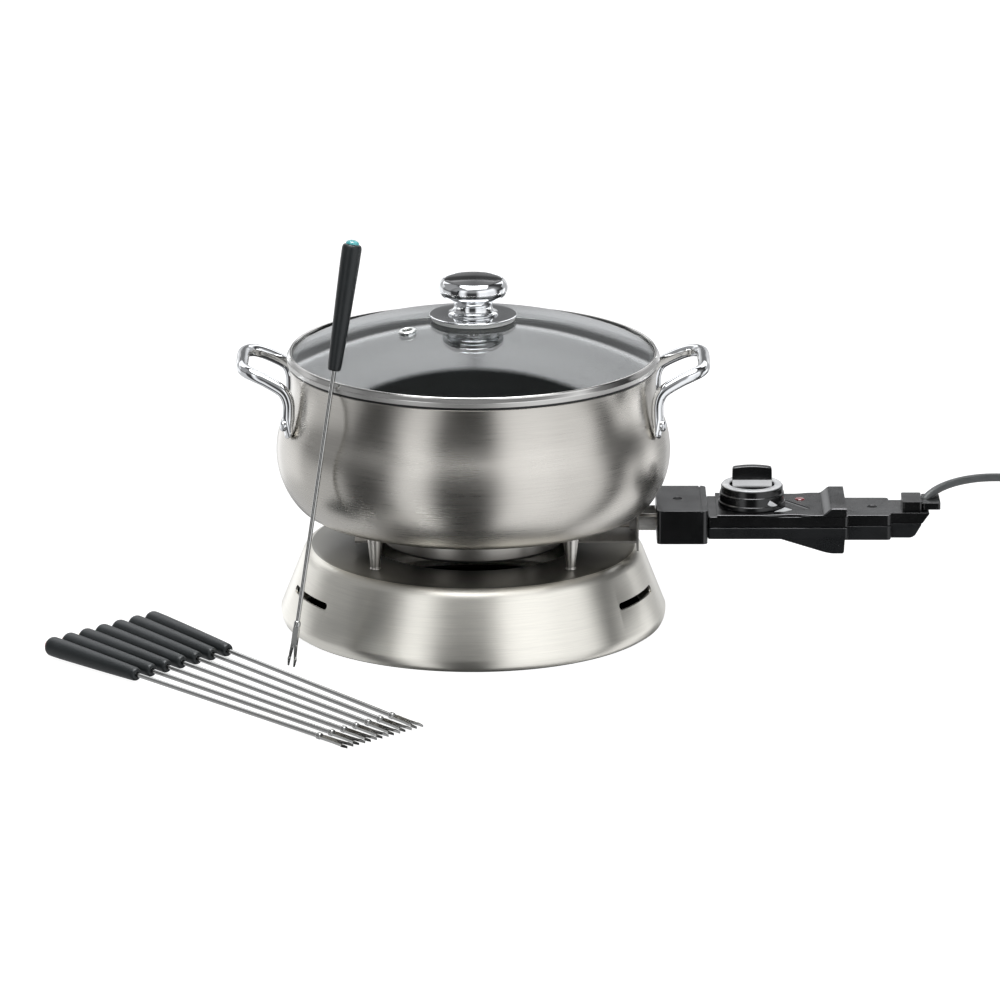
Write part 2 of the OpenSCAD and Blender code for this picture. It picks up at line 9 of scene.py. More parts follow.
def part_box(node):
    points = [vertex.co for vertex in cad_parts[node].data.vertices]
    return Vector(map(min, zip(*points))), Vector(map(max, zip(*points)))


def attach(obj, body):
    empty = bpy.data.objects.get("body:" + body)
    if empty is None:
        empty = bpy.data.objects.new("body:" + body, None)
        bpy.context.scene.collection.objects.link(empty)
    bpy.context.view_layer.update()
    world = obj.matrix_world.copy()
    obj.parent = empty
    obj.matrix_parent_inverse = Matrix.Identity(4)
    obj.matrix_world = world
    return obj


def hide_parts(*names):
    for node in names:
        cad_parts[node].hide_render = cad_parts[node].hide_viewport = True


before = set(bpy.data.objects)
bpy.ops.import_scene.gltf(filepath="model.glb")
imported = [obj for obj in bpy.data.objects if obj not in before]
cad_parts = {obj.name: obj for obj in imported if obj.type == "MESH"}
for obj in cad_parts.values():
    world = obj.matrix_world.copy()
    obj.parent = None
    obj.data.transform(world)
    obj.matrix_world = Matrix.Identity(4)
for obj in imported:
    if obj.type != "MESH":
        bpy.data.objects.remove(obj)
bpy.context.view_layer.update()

MM = 0.001
TAU = 2 * pi


# ---- measures, in millimetres

def box_mm(node):
    """The lowest and highest corner of a CAD node's box."""
    low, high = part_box(node)
    return low / MM, high / MM


POT_LOW, POT_HIGH = box_mm("pot_shell")
BELLY_R = POT_HIGH.x
RIM_Z = POT_HIGH.z
BASE_R, _, BASE_TOP = box_mm("base_skirt")[1]
BAND_LOW, BAND_HIGH = box_mm("lid_rim_band")
BAND_R = BAND_HIGH.x
GLASS_TOP = box_mm("lid_glass")[1].z
KNOB_FOOT = box_mm("lid_knob")[0].z
FORK_COUNT = 8
FORK_LEN = 249.0
GRIP_LEN = 76.0


# ---- outlines

def arc(cx, cy, r, a0, a1, steps):
    """Points on a circle from angle a0 to a1, in degrees."""
    angles = [radians(a0 + (a1 - a0) * i / steps) for i in range(steps + 1)]
    return [(cx + r * cos(a), cy + r * sin(a)) for a in angles]


def rounded(points, radius, steps=5, closed=True):
    """The same outline with each corner turned into a small curve."""
    out = []
    count = len(points)
    for i, p in enumerate(points):
        if not closed and i in (0, count - 1):
            out.append(tuple(p))
            continue
        here = Vector(p)
        before = Vector(points[i - 1]) - here
        after = Vector(points[(i + 1) % count]) - here
        reach = min(radius, before.length * 0.48, after.length * 0.48)
        if reach < 1e-6 or before.angle(-after) < 0.03:
            out.append(tuple(p))
            continue
        start = here + before.normalized() * reach
        end = here + after.normalized() * reach
        for k in range(steps + 1):
            t = k / steps
            out.append(tuple(start * (1 - t) ** 2 + here * 2 * t * (1 - t) + end * t * t))
    return out


def bezier(p, t):
    """A point on a cubic curve with control points p."""
    a, b, c, d = (Vector(v) for v in p)
    u = 1 - t
    return a * u ** 3 + b * 3 * u * u * t + c * 3 * u * t * t + d * t ** 3


def smooth_path(points, per_span):
    """A Catmull-Rom curve through the given points."""
    pts = [Vector(p) for p in points]
    pts = [pts[0] * 2 - pts[1]] + pts + [pts[-1] * 2 - pts[-2]]
    out = []
    for i in range(1, len(pts) - 2):
        a, b, c, d = pts[i - 1:i + 3]
        for k in range(per_span):
            t = k / per_span
            out.append(0.5 * (2 * b + (c - a) * t + (2 * a - 5 * b + 4 * c - d) * t * t
                              + (3 * b - a - 3 * c + d) * t ** 3))
    return out + [pts[-2]]


# ---- mesh builders

def link_new(name, data):
    obj = bpy.data.objects.new(name, data)
    bpy.context.scene.collection.objects.link(obj)
    return obj


def new_piece(name, vertices, faces, sharp=35):
    """A mesh object from points in millimetres, smooth except at edges sharper than the angle."""
    mesh = bpy.data.meshes.new(name)
    mesh.from_pydata([tuple(Vector(v) * MM) for v in vertices], [], faces)
    return tidy_mesh(link_new(name, mesh), sharp)


def tidy_mesh(obj, sharp=35):
    """Merges points that coincide, turns every face outwards and smooths the blunt edges."""
    bm = bmesh.new()
    bm.from_mesh(obj.data)
    bmesh.ops.remove_doubles(bm, verts=bm.verts, dist=1e-6)
    bmesh.ops.recalc_face_normals(bm, faces=bm.faces)
    bm.to_mesh(obj.data)
    bm.free()
    smooth(obj, sharp)
    obj.data.update()
    return obj


def smooth(obj, sharp):
    obj.data.shade_smooth()
    obj.data.set_sharp_from_angle(angle=radians(sharp))


def lathe(name, outline, turns=160, centre=(0, 0), closed=True, sharp=35):
    """Turns an outline of (radius, height) points round an upright axis."""
    vertices, rings = [], []
    for r, z in outline:
        if r < 1e-4:
            rings.append([len(vertices)] * turns)
            vertices.append((centre[0], centre[1], z))
            continue
        start = len(vertices)
        rings.append(list(range(start, start + turns)))
        for k in range(turns):
            a = TAU * k / turns
            vertices.append((centre[0] + r * cos(a), centre[1] + r * sin(a), z))
    faces = []
    spans = len(rings) if closed else len(rings) - 1
    for i in range(spans):
        low, high = rings[i], rings[(i + 1) % len(rings)]
        for k in range(turns):
            n = (k + 1) % turns
            corners = [low[k], low[n], high[n], high[k]]
            face = [c for j, c in enumerate(corners) if c not in corners[:j]]
            if len(face) > 2:
                faces.append(face)
    return new_piece(name, vertices, faces, sharp)


def prism(name, outline, low, high, bevel=0.6, axis="z", steps=3):
    """Extrudes a plan outline. With axis "y" the outline is drawn in X and Z instead."""
    def place(p, height):
        return (p[0], p[1], height) if axis == "z" else (p[0], height, p[1])
    count = len(outline)
    vertices = [place(p, low) for p in outline] + [place(p, high) for p in outline]
    faces = [list(range(count))[::-1], list(range(count, 2 * count))]
    faces += [[i, (i + 1) % count, (i + 1) % count + count, i + count] for i in range(count)]
    obj = new_piece(name, vertices, faces, 50)
    return add_bevel(obj, bevel, steps) if bevel else obj


def add_bevel(obj, width, steps=3, angle=40):
    """Rounds every edge sharper than the angle."""
    bevel = obj.modifiers.new("edge_radius", "BEVEL")
    bevel.width = width * MM
    bevel.segments = steps
    bevel.limit_method = "ANGLE"
    bevel.angle_limit = radians(angle)
    bake(obj)
    return weigh_normals(obj)


def bake(obj):
    """Applies every modifier of the object."""
    graph = bpy.context.evaluated_depsgraph_get()
    mesh = bpy.data.meshes.new_from_object(obj.evaluated_get(graph))
    obj.modifiers.clear()
    obj.data = mesh


def weigh_normals(obj, sharp=60):
    """Keeps broad faces flat between their rounded edges."""
    smooth(obj, sharp)
    weigh = obj.modifiers.new("flat_faces", "WEIGHTED_NORMAL")
    weigh.keep_sharp = True
    bake(obj)
    return obj


def cut(obj, cutters, sharp=35):
    """Subtracts each cutter from the object and deletes the cutters."""
    for cutter in cutters:
        subtract = obj.modifiers.new("cut", "BOOLEAN")
        subtract.operation = "DIFFERENCE"
        subtract.solver = "EXACT"
        subtract.object = cutter
        bake(obj)
        bpy.data.objects.remove(cutter)
    return tidy_mesh(obj, sharp)


def cylinder(name, start, end, radius):
    """A closed round bar between two points, used as a cutter."""
    return tube(name, [start, end], (radius, radius), 48, False)


def outwards(p, x=0):
    """The level direction from the upright line at x to the point."""
    return Vector((p.x - x, p.y, 0)).normalized()


def tube(name, path, size, sides=32, round_ends=True, outward=None):
    """Sweeps an ellipse along a path. Its half width and thickness are size, or size(t).

    outward(point) is the way its thickness points; without it the frame is carried along."""
    pts = [Vector(p) for p in path]
    count = len(pts)
    vertices, rings = [], []
    normal = None
    stations = []
    for i, p in enumerate(pts):
        tangent = (pts[min(i + 1, count - 1)] - pts[max(i - 1, 0)]).normalized()
        if outward:
            normal = outward(p)
        elif normal is None:
            normal = Vector((0, 0, 1)) if abs(tangent.z) < 0.9 else Vector((1, 0, 0))
        normal = (normal - tangent * normal.dot(tangent)).normalized()
        stations.append((p, tangent, normal, size(i / (count - 1)) if callable(size) else size))
    if round_ends:
        stations = end_cap(stations[0], -1)[::-1] + stations + end_cap(stations[-1], 1)
    for p, tangent, normal, (wide, thick) in stations:
        side = tangent.cross(normal)
        rings.append(len(vertices))
        for k in range(sides):
            a = TAU * k / sides
            vertices.append(p + side * wide * cos(a) + normal * thick * sin(a))
    faces = [[a + k, a + (k + 1) % sides, b + (k + 1) % sides, b + k]
             for a, b in zip(rings, rings[1:]) for k in range(sides)]
    faces.append(list(range(rings[0], rings[0] + sides))[::-1])
    faces.append(list(range(rings[-1], rings[-1] + sides)))
    return new_piece(name, vertices, faces)


def end_cap(station, way, steps=4):
    """Stations that close a swept bar with a rounded end."""
    p, tangent, normal, (wide, thick) = station
    reach = min(wide, thick)
    out = []
    for k in range(1, steps + 1):
        a = pi / 2 * k / steps * 0.96
        shrink = cos(a)
        out.append((p + tangent * way * reach * sin(a), tangent, normal,
                    (wide - reach * (1 - shrink), thick - reach * (1 - shrink))))
    return out


def loft(name, x_values, section, radius, steps):
    """A bar along X. section(x) gives half width, lowest and highest Z there."""
    vertices, faces = [], []
    ring = 0
    for x in x_values:
        half, low, high = section(x)
        outline = rounded([(-half, low), (half, low), (half, high), (-half, high)], radius, steps)
        ring = len(outline)
        vertices += [(x, y, z) for y, z in outline]
    for i in range(len(x_values) - 1):
        a, b = i * ring, (i + 1) * ring
        faces += [[a + k, a + (k + 1) % ring, b + (k + 1) % ring, b + k] for k in range(ring)]
    faces.append(list(range(ring)))
    faces.append(list(range(len(vertices) - ring, len(vertices)))[::-1])
    return new_piece(name, vertices, faces, 40)


def join(name, parts, sharp=45):
    """Merges parts into one object with the given name."""
    bm = bmesh.new()
    for part in parts:
        bm.from_mesh(part.data)
        bpy.data.objects.remove(part)
    mesh = bpy.data.meshes.new(name)
    bm.to_mesh(mesh)
    bm.free()
    return weigh_normals(link_new(name, mesh), sharp)


def coat(mesh, material):
    mesh.materials.clear()
    mesh.materials.append(material)


def set_piece(obj, body, material, node):
    """Gives a piece its finish, its body, and the CAD node it stands for or None."""
    coat(obj.data, material)
    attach(obj, body)
    if node:
        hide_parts(node)


# ---- materials

def add_node(tree, kind, inputs=None, **settings):
    """A new shader node; an input is given as a value or as another node's socket."""
    node = tree.nodes.new("ShaderNode" + kind)
    for key, value in settings.items():
        setattr(node, key, value)
    for key, value in (inputs or {}).items():
        if isinstance(value, bpy.types.NodeSocket):
            tree.links.new(value, node.inputs[key])
        else:
            node.inputs[key].default_value = value
    return node


class Recipe:
    """A material under construction: a principled shader and short ways to add nodes to it."""

    def __init__(self, name, colour, roughness, metallic=0.0):
        self.material = bpy.data.materials.new(name)
        self.material.use_nodes = True
        self.tree = self.material.node_tree
        self.shader = self.tree.nodes["Principled BSDF"]
        self.output = self.tree.nodes["Material Output"]
        self.set("Base Color", (*colour, 1))
        self.set("Roughness", roughness)
        self.set("Metallic", metallic)

    def set(self, name, value):
        socket = self.shader.inputs[name]
        if isinstance(value, bpy.types.NodeSocket):
            self.tree.links.new(value, socket)
        else:
            socket.default_value = value

    def add(self, kind, inputs=None, **settings):
        return add_node(self.tree, kind, inputs, **settings)

    def blend(self, factor, a, b):
        """The shader a where factor is 0 and b where it is 1."""
        return self.add("MixShader", {0: factor, 1: a.outputs[0], 2: b.outputs[0]})

    def surface(self, shader):
        self.tree.links.new(shader.outputs[0], self.output.inputs["Surface"])

    def math(self, operation, a, b=0.0):
        return self.add("Math", {0: a, 1: b}, operation=operation).outputs[0]

    def place(self):
        return self.add("TexCoord").outputs["Object"]

    def noise(self, vector, scale, detail=3.0, rough=0.5):
        inputs = {"Vector": vector, "Scale": scale, "Detail": detail, "Roughness": rough}
        return self.add("TexNoise", inputs).outputs["Fac"]

    def span(self, value, low, high, to_low, to_high):
        inputs = {"Value": value, "From Min": low, "From Max": high,
                  "To Min": to_low, "To Max": to_high}
        return self.add("MapRange", inputs).outputs["Result"]

    def mix(self, factor, a, b):
        node = self.add("Mix", data_type="RGBA")
        for socket, value in ((node.inputs[0], factor), (node.inputs[6], a), (node.inputs[7], b)):
            if isinstance(value, bpy.types.NodeSocket):
                self.tree.links.new(value, socket)
            elif isinstance(value, tuple):
                socket.default_value = (*value, 1)
            else:
                socket.default_value = value
        return node.outputs[2]

    def bump(self, height, distance, strength=1.0):
        inputs = {"Height": height, "Distance": distance, "Strength": strength}
        self.set("Normal", self.add("Bump", inputs).outputs["Normal"])

    def round_axis(self):
        """Coordinates that run round the upright axis: turn, height and distance from it."""
        part = self.add("SeparateXYZ", {0: self.place()}).outputs
        turn = self.math("ARCTAN2", part["Y"], part["X"])
        squares = [self.math("MULTIPLY", part[axis], part[axis]) for axis in "XY"]
        return turn, part["Z"], self.math("SQRT", self.math("ADD", *squares))


# distances from the axis, in metres, over which the painted shade on the base's plate fades
SHADE_IN, SHADE_OUT = 0.062, 0.092


def brushed_steel(name, colour, roughness, lines, anisotropy, pot_shade_z=None):
    """Steel brushed in fine lines round its upright axis, a little uneven and faintly marked.

    A top plate above the height given last gets painted shade, darkest near the axis: the pot's shadow
    and its dark reflection."""
    r = Recipe(name, colour, roughness, 1.0)
    turn, height, reach = r.round_axis()
    along = r.math("MULTIPLY", turn, 0.0016)
    fine = r.add("CombineXYZ", {0: along, 1: height, 2: reach}).outputs[0]
    hair = r.noise(fine, 4200.0, 2.0)
    streak = r.noise(fine, 900.0, 3.0)
    cloud = r.noise(r.place(), 26.0, 3.0)
    lined = r.math("ADD", r.math("MULTIPLY", hair, 0.65), r.math("MULTIPLY", streak, 0.35))
    r.set("Roughness", r.math("ADD", r.span(lined, 0.3, 0.7, roughness - 0.03, roughness + 0.04),
                              r.span(cloud, 0.35, 0.65, -0.02, 0.03)))
    light = tuple(min(1.0, c * 1.05) for c in colour)
    dark = tuple(c * (1 - 0.10 * lines) for c in colour)
    shade = r.mix(r.span(lined, 0.3, 0.7, 0.0, 1.0), dark, light)
    if pot_shade_z is not None:
        # painted shade on the plate under the pot, darkest near the axis
        plate = r.math("GREATER_THAN", height, pot_shade_z * MM)
        painted_shade = r.math("MULTIPLY", plate, r.span(reach, SHADE_IN, SHADE_OUT, 0.97, 0.62))
        shade = r.mix(painted_shade, shade, (0.01, 0.01, 0.009))
    r.set("Base Color", shade)
    r.set("Anisotropic", anisotropy)
    r.set("Anisotropic Rotation", 0.25)
    r.set("Tangent", r.add("Tangent", direction_type="RADIAL", axis="Z").outputs[0])
    return r.material


def banded_steel(name, colour, roughness, satin_z, gap_r, gap_z):
    """Band steel: a polished lip and a satin skirt, with painted shade, black and unmetallic, in the gap
    above the pot's rim.
    """
    r = Recipe(name, colour, roughness, 1.0)
    turn, height, reach = r.round_axis()
    along = r.math("MULTIPLY", turn, 0.002)
    ring = r.add("CombineXYZ", {0: along, 1: height, 2: reach}).outputs[0]
    lines = r.noise(ring, 2600.0, 2.0)
    satin = r.math("MULTIPLY", r.math("LESS_THAN", height, satin_z * MM), 0.32)
    lined = r.span(lines, 0.3, 0.7, roughness - 0.03, roughness + 0.05)
    r.set("Roughness", r.math("ADD", satin, lined))
    # painted shade: the recess at the band's foot, under the flange, is drawn black
    gap_shade = r.math("MULTIPLY", r.math("LESS_THAN", reach, gap_r * MM),
                    r.math("LESS_THAN", height, gap_z * MM))
    lit = r.mix(r.span(lines, 0.3, 0.7, 0.0, 1.0), tuple(c * 0.93 for c in colour), colour)
    r.set("Base Color", r.mix(gap_shade, lit, (0.006, 0.006, 0.006)))
    r.set("Metallic", r.math("SUBTRACT", 1.0, gap_shade))
    return r.material


def plate_finish(name, colour, skirt_z):
    """Chrome on the flat of the knob's plate, and the pale soft seal that forms its skirt."""
    r = Recipe(name, colour, 0.05, 1.0)
    smudge = r.noise(r.place(), 45.0, 4.0)
    seal = r.math("LESS_THAN", r.round_axis()[1], skirt_z * MM)
    r.set("Roughness", r.math("ADD", r.math("MULTIPLY", seal, 0.4),
                              r.span(smudge, 0.4, 0.75, 0.03, 0.1)))
    r.set("Metallic", r.math("SUBTRACT", 1.0, seal))
    r.set("Base Color", r.mix(seal, colour, (0.9, 0.9, 0.88)))
    r.bump(r.noise(r.place(), 900.0, 2.0), 0.000004, 0.25)
    return r.material


def polished(name, colour, roughness):
    """Bright plated or polished metal with faint handling marks."""
    r = Recipe(name, colour, roughness, 1.0)
    smudge = r.noise(r.place(), 45.0, 4.0)
    fine = r.noise(r.place(), 900.0, 2.0)
    r.set("Roughness", r.math("ADD", r.span(smudge, 0.4, 0.75, roughness, roughness + 0.07),
                              r.math("MULTIPLY", fine, 0.02)))
    r.bump(fine, 0.000004, 0.25)
    return r.material


def plastic(name, colour, roughness, grain, scale=2400.0, shine=0.5):
    """Moulded plastic: a fine spark-eroded grain, slight colour drift and soft handling marks."""
    r = Recipe(name, colour, roughness)
    spark = r.noise(r.place(), scale, 4.0, 0.6)
    drift = r.noise(r.place(), 60.0, 3.0)
    r.set("Roughness", r.math("ADD", r.span(spark, 0.3, 0.7, roughness - 0.04, roughness + 0.05),
                              r.span(drift, 0.35, 0.65, -0.03, 0.04)))
    pale = tuple(min(1.0, c * 1.35 + 0.002) for c in colour)
    r.set("Base Color", r.mix(r.span(drift, 0.35, 0.7, 0.0, 0.5), colour, pale))
    r.bump(spark, 0.00002 * grain, 0.3)
    r.set("Specular IOR Level", shine)
    return r.material


def dome_glass(name):
    """Clear tempered glass that lets light through to the pot without dark caustics."""
    r = Recipe(name, (0.93, 0.96, 0.96), 0.0)
    r.set("Transmission Weight", 1.0)
    r.set("IOR", 1.5)
    haze = r.noise(r.place(), 30.0, 3.0)
    r.set("Roughness", r.span(haze, 0.5, 0.9, 0.0, 0.012))
    clear = r.add("BsdfTransparent", {"Color": (0.93, 0.95, 0.95, 1)})
    ray = r.add("LightPath")
    through = r.math("MAXIMUM", ray.outputs["Is Shadow Ray"], ray.outputs["Is Diffuse Ray"])
    r.surface(r.blend(through, r.shader, clear))
    return r.material


def nonstick(name):
    """Dark grey coating with fine pale specks and a satin sheen."""
    coating = (0.055, 0.058, 0.057)
    r = Recipe(name, coating, 0.32)
    speck = r.noise(r.place(), 1500.0, 2.0)
    cloud = r.noise(r.place(), 24.0, 3.0)
    r.set("Base Color", r.mix(r.span(speck, 0.66, 0.74, 0.0, 0.35), coating, (0.2, 0.2, 0.2)))
    r.set("Roughness", r.span(cloud, 0.3, 0.7, 0.28, 0.4))
    r.bump(r.noise(r.place(), 3000.0, 2.0), 0.00003, 0.4)
    return r.material


def sheath(name, colour, roughness):
    """Soft rubbery sheath with a dull sheen and fine surface texture."""
    r = Recipe(name, colour, roughness)
    skin = r.noise(r.place(), 1300.0, 4.0, 0.65)
    drift = r.noise(r.place(), 90.0, 2.0)
    pale = tuple(min(1.0, c * 1.3) for c in colour)
    r.set("Base Color", r.mix(r.span(drift, 0.3, 0.7, 0.0, 0.6), colour, pale))
    r.set("Roughness", r.span(skin, 0.3, 0.7, roughness - 0.08, roughness + 0.08))
    r.bump(skin, 0.00006, 0.5)
    return r.material


def clear_plastic(name, colour):
    """Coloured clear plastic with a glossy skin, for the lamp's lens and the fork caps."""
    r = Recipe(name, colour, 0.12)
    depth = r.noise(r.place(), 700.0, 2.0)
    bright = tuple(min(1.0, c * 1.5 + 0.02) for c in colour)
    r.set("Base Color", r.mix(r.span(depth, 0.35, 0.65, 0.0, 0.7), colour, bright))
    r.set("Subsurface Weight", 0.25)
    r.set("Subsurface Radius", (0.002, 0.002, 0.002))
    r.set("Coat Weight", 0.6)
    r.bump(depth, 0.00002, 0.2)
    return r.material


JET = (0.003, 0.0033, 0.0036)
STEEL = brushed_steel("brushed_steel", (0.63, 0.605, 0.56), 0.28, 1.0, 0.65)
# the base's top plate carries painted shade under the pot
BASE_STEEL = brushed_steel("base_steel", (0.90, 0.875, 0.80), 0.33, 1.0, 0.75, BASE_TOP - 0.4)
SATIN = brushed_steel("satin_steel", (0.62, 0.60, 0.565), 0.34, 0.5, 0.4)
BAND_STEEL = banded_steel("band_steel", (0.64, 0.63, 0.61), 0.1,
                          BAND_HIGH.z - 3.1, BAND_R - 0.5, BAND_HIGH.z - 5.6)
PLATE = plate_finish("plate_chrome", (0.86, 0.87, 0.88), KNOB_FOOT - 0.95)
CHROME = polished("chrome", (0.80, 0.81, 0.82), 0.03)
EYELET = polished("eyelet_steel", (0.85, 0.86, 0.84), 0.3)
FORK_STEEL = polished("fork_steel", (0.45, 0.45, 0.44), 0.09)
ZINC = polished("zinc_steel", (0.55, 0.55, 0.54), 0.28)
# painted shade: the housing screws, deep in their recesses, are drawn near black and unmetallic
SCREW_SHADE = plastic("screw_painted_shade", (0.006, 0.006, 0.006), 0.5, 1.0, 2000.0, 0.1)
BRASS = polished("brass", (0.78, 0.62, 0.30), 0.2)
BLADE = polished("blade_metal", (0.80, 0.74, 0.58), 0.18)
LINER = nonstick("nonstick_coating")
ELEMENT = sheath("element_sheath", (0.09, 0.085, 0.08), 0.45)
CERAMIC = plastic("ceramic_body", (0.36, 0.355, 0.345), 0.55, 2.0, 1500.0)
GLASS = dome_glass("dome_glass")
BLACK = plastic("black_plastic", JET, 0.2, 0.4, 2400.0, 0.7)
FACE = plastic("face_plastic", JET, 0.16, 0.3, 2000.0, 0.9)
TUB = plastic("tub_plastic", (0.0085, 0.0095, 0.0105), 0.3, 0.6)
DIAL_BLACK = plastic("dial_plastic", JET, 0.18, 0.3, 2400.0, 0.6)
GLOSS_BLACK = plastic("gloss_black", (0.004, 0.004, 0.0045), 0.06, 0.1, 2400.0, 0.3)
SILVER = plastic("silver_plastic", (0.78, 0.79, 0.80), 0.22, 0.3)
GRIP = plastic("fork_grip", (0.013, 0.016, 0.017), 0.4, 1.2, 1600.0, 0.45)
RED_LENS = clear_plastic("red_lens", (0.20, 0.006, 0.012))
RUBBER = sheath("foot_rubber", (0.02, 0.02, 0.02), 0.6)
CORD = sheath("cord_sheath", (0.075, 0.08, 0.08), 0.45)
PLUG = sheath("plug_rubber", (0.02, 0.02, 0.021), 0.42)


# ---- base

SHEET = 1.2
# the rounded shoulder between the sloping skirt and the top plate, and its centre
CONE_FALL, SHOULDER_ARC = 16, 8.5
SHOULDER = (92.2054, BASE_TOP - SHOULDER_ARC)
VENT_R, VENT_Z, VENT_HEIGHT, VENT_SPAN = 106, 25, 4, 22


def base_skirt():
    band_h, opening = 8.0, 60.0
    outer = [(BASE_R - 2.6, 0.6), (BASE_R - 1.5, 1.3), (BASE_R - 0.6, 3.2), (BASE_R - 0.1, 5.6),
             (BASE_R, band_h)]
    outer += arc(*SHOULDER, SHOULDER_ARC, CONE_FALL, 90, 10)
    inner = arc(*SHOULDER, SHOULDER_ARC - SHEET, 90, CONE_FALL, 10)
    inner += [(BASE_R - SHEET, band_h), (BASE_R - 1.9, 3.7)]
    ledge = [(BASE_R - 2.3, 2.8), (102, 2.8), (102, 1.65), (BASE_R - 3.2, 1.65), (BASE_R - 3.2, 0.7)]
    lip = [(opening, BASE_TOP), (opening - 0.6, BASE_TOP - 0.6), (opening, BASE_TOP - SHEET)]
    skirt = lathe("skirt", outer + lip + inner + ledge, 256)
    return cut(skirt, [vent_cutter(side + turn) for side in (0, 180) for turn in (-25, 25)])


def vent_cutter(middle):
    """A curved bar with round ends, which cuts one vent slot."""
    path = []
    for i in range(13):
        a = radians(middle + VENT_SPAN * (i / 12 - 0.5))
        path.append((VENT_R * cos(a), VENT_R * sin(a), VENT_Z))
    return tube("vent", path, (VENT_HEIGHT / 2, 12), 24, True, outwards)


def support_posts():
    ring, foot, top = 80, 46.05, 66.9
    outline = [(0, foot), (3.2, foot), (3.2, 46.6), (2.6, 47.2), (4.8, 66.2), (4.8, top), (0, top)]
    parts = []
    for k in range(4):
        a = radians(45 + 90 * k)
        centre = (ring * cos(a), ring * sin(a))
        parts.append(lathe("post", rounded(outline, 0.3, 2), 40, centre))
    return join("posts", parts)


def heater_ring():
    low, high = box_mm("heater_housing")
    r = high.x
    outline = [(0, low.z), (r - 1.5, low.z), (r, low.z + 1.4), (r, high.z), (r - 1, high.z),
               (r - 1, low.z + 1.9), (r - 2, low.z + 1), (0, low.z + 1)]
    ring = lathe("heater_ring", rounded(outline, 0.5, 3), 128)
    notch = prism("notch", [(40, -22), (60, -22), (60, 22), (40, 22)], 55, 70, 0)
    return cut(ring, [notch])


set_piece(base_skirt(), "base", BASE_STEEL, "base_skirt")
set_piece(support_posts(), "base", SATIN, "support_posts")
set_piece(heater_ring(), "base", SATIN, "heater_housing")


# ---- pot

NECK_R, NECK_Z, BELLY_Z = 106.4, 143.0, 103.0
BELLY_ARC, HEEL_ARC, FLOOR_SLOPE, BELLY_TURN = 45.0, 14.0, 8.0, 40.0
RISE, DROP = (NECK_Z - BELLY_Z) / 2, (BELLY_R - NECK_R) / 2
SHOULDER_R = (RISE ** 2 + DROP ** 2) / (2 * DROP)
SHOULDER_TURN = degrees(asin(RISE / SHOULDER_R))
HEEL_C = (BELLY_R - BELLY_ARC + (BELLY_ARC - HEEL_ARC) * cos(radians(BELLY_TURN)),
          BELLY_Z - (BELLY_ARC - HEEL_ARC) * sin(radians(BELLY_TURN)))


def pot_profile(inset, top):
    """The pot's outline from its rim to the axis, moved inwards."""
    slope = radians(FLOOR_SLOPE)
    end_r = HEEL_C[0] + (HEEL_ARC - inset) * sin(slope)
    end_z = HEEL_C[1] - (HEEL_ARC - inset) * cos(slope)
    floor_z = POT_LOW.z + inset
    neck = SHOULDER_R + inset
    start = 180 - degrees(asin((top - NECK_Z) / neck))
    return (arc(NECK_R + SHOULDER_R, NECK_Z, neck, start, 180 + SHOULDER_TURN, 20)
            + arc(BELLY_R - SHOULDER_R, BELLY_Z, SHOULDER_R - inset, SHOULDER_TURN - 1.5, 0, 14)
            + arc(BELLY_R - BELLY_ARC, BELLY_Z, BELLY_ARC - inset, -2, -BELLY_TURN, 20)
            + arc(HEEL_C[0], HEEL_C[1], HEEL_ARC - inset, -BELLY_TURN - 5, FLOOR_SLOPE - 90, 8)
            + [(end_r + (floor_z - end_z) / tan(slope), floor_z), (28, floor_z), (0, floor_z)])


def shell(name, inset, thickness, top):
    """A wall of the given thickness that follows the pot's outline, with a rounded lip."""
    outside = pot_profile(inset, top)
    inside = pot_profile(inset + thickness, top)
    lip = [(inside[0][0] + thickness * 0.2, top + thickness * 0.25),
           (outside[0][0] - thickness * 0.2, top + thickness * 0.25)]
    return lathe(name, outside + inside[::-1] + lip, 256)


set_piece(shell("steel_pot", 0, 1.2, RIM_Z - 0.3), "base", STEEL, "pot_shell")
set_piece(shell("coated_liner", 1.3, 1.4, RIM_Z - 1.4), "base", LINER, "nonstick_liner")


# ---- handles

BAR_R = 3.6
GRIP_PATH = [(134.2, 0, 156.3), (134.2, 10, 156.3), (133.6, 18, 156.1), (131, 24.5, 155.5),
             (126.5, 28.5, 154.3), (120, 30.3, 151.6), (111.5, 32, 146.9), (108.2, 32.7, 143.2),
             (106.8, 33.3, 138.5), (106.7, 34.6, 133), (106.9, 36.4, 127.5), (106.7, 39.2, 121.6)]


def loop_handle(name, side):
    half = smooth_path(GRIP_PATH, 8)
    whole = [Vector((p.x, -p.y, p.z)) for p in half[:0:-1]] + half
    whole = [Vector((p.x * side, p.y, p.z)) for p in whole]
    foot_share = 0.065  # of the bar's length, at each end, where it flattens onto the pot

    def size(t):
        flat = max(0.0, 1 - min(t, 1 - t) / foot_share)
        return BAR_R + 0.5 * flat, BAR_R - 1.6 * flat

    return tube(name, whole, size, 32, True, outwards)


def rivets():
    ring, turn, height = 114.9, 19, 126.6
    outline = [(0, 0), (3.2, 0), (3.2, 1.9), (2.8, 2.5), (1.7, 2.95), (0, 3.1)]
    parts = []
    for angle in (-turn, turn, 180 - turn, 180 + turn):
        head = lathe("rivet", rounded(outline, 0.4, 3), 32)
        head.data.transform(Matrix.Rotation(radians(angle), 4, "Z")
                            @ Matrix.Translation((ring * MM, 0, height * MM))
                            @ Matrix.Rotation(pi / 2, 4, "Y"))
        parts.append(head)
    return join("rivets", parts)


for side, way in (("left", -1), ("right", 1)):
    set_piece(loop_handle(f"handle_{side}", way), "base", CHROME, f"{side}_handle")
set_piece(rivets(), "base", CHROME, "handle_rivets")


# ---- lid

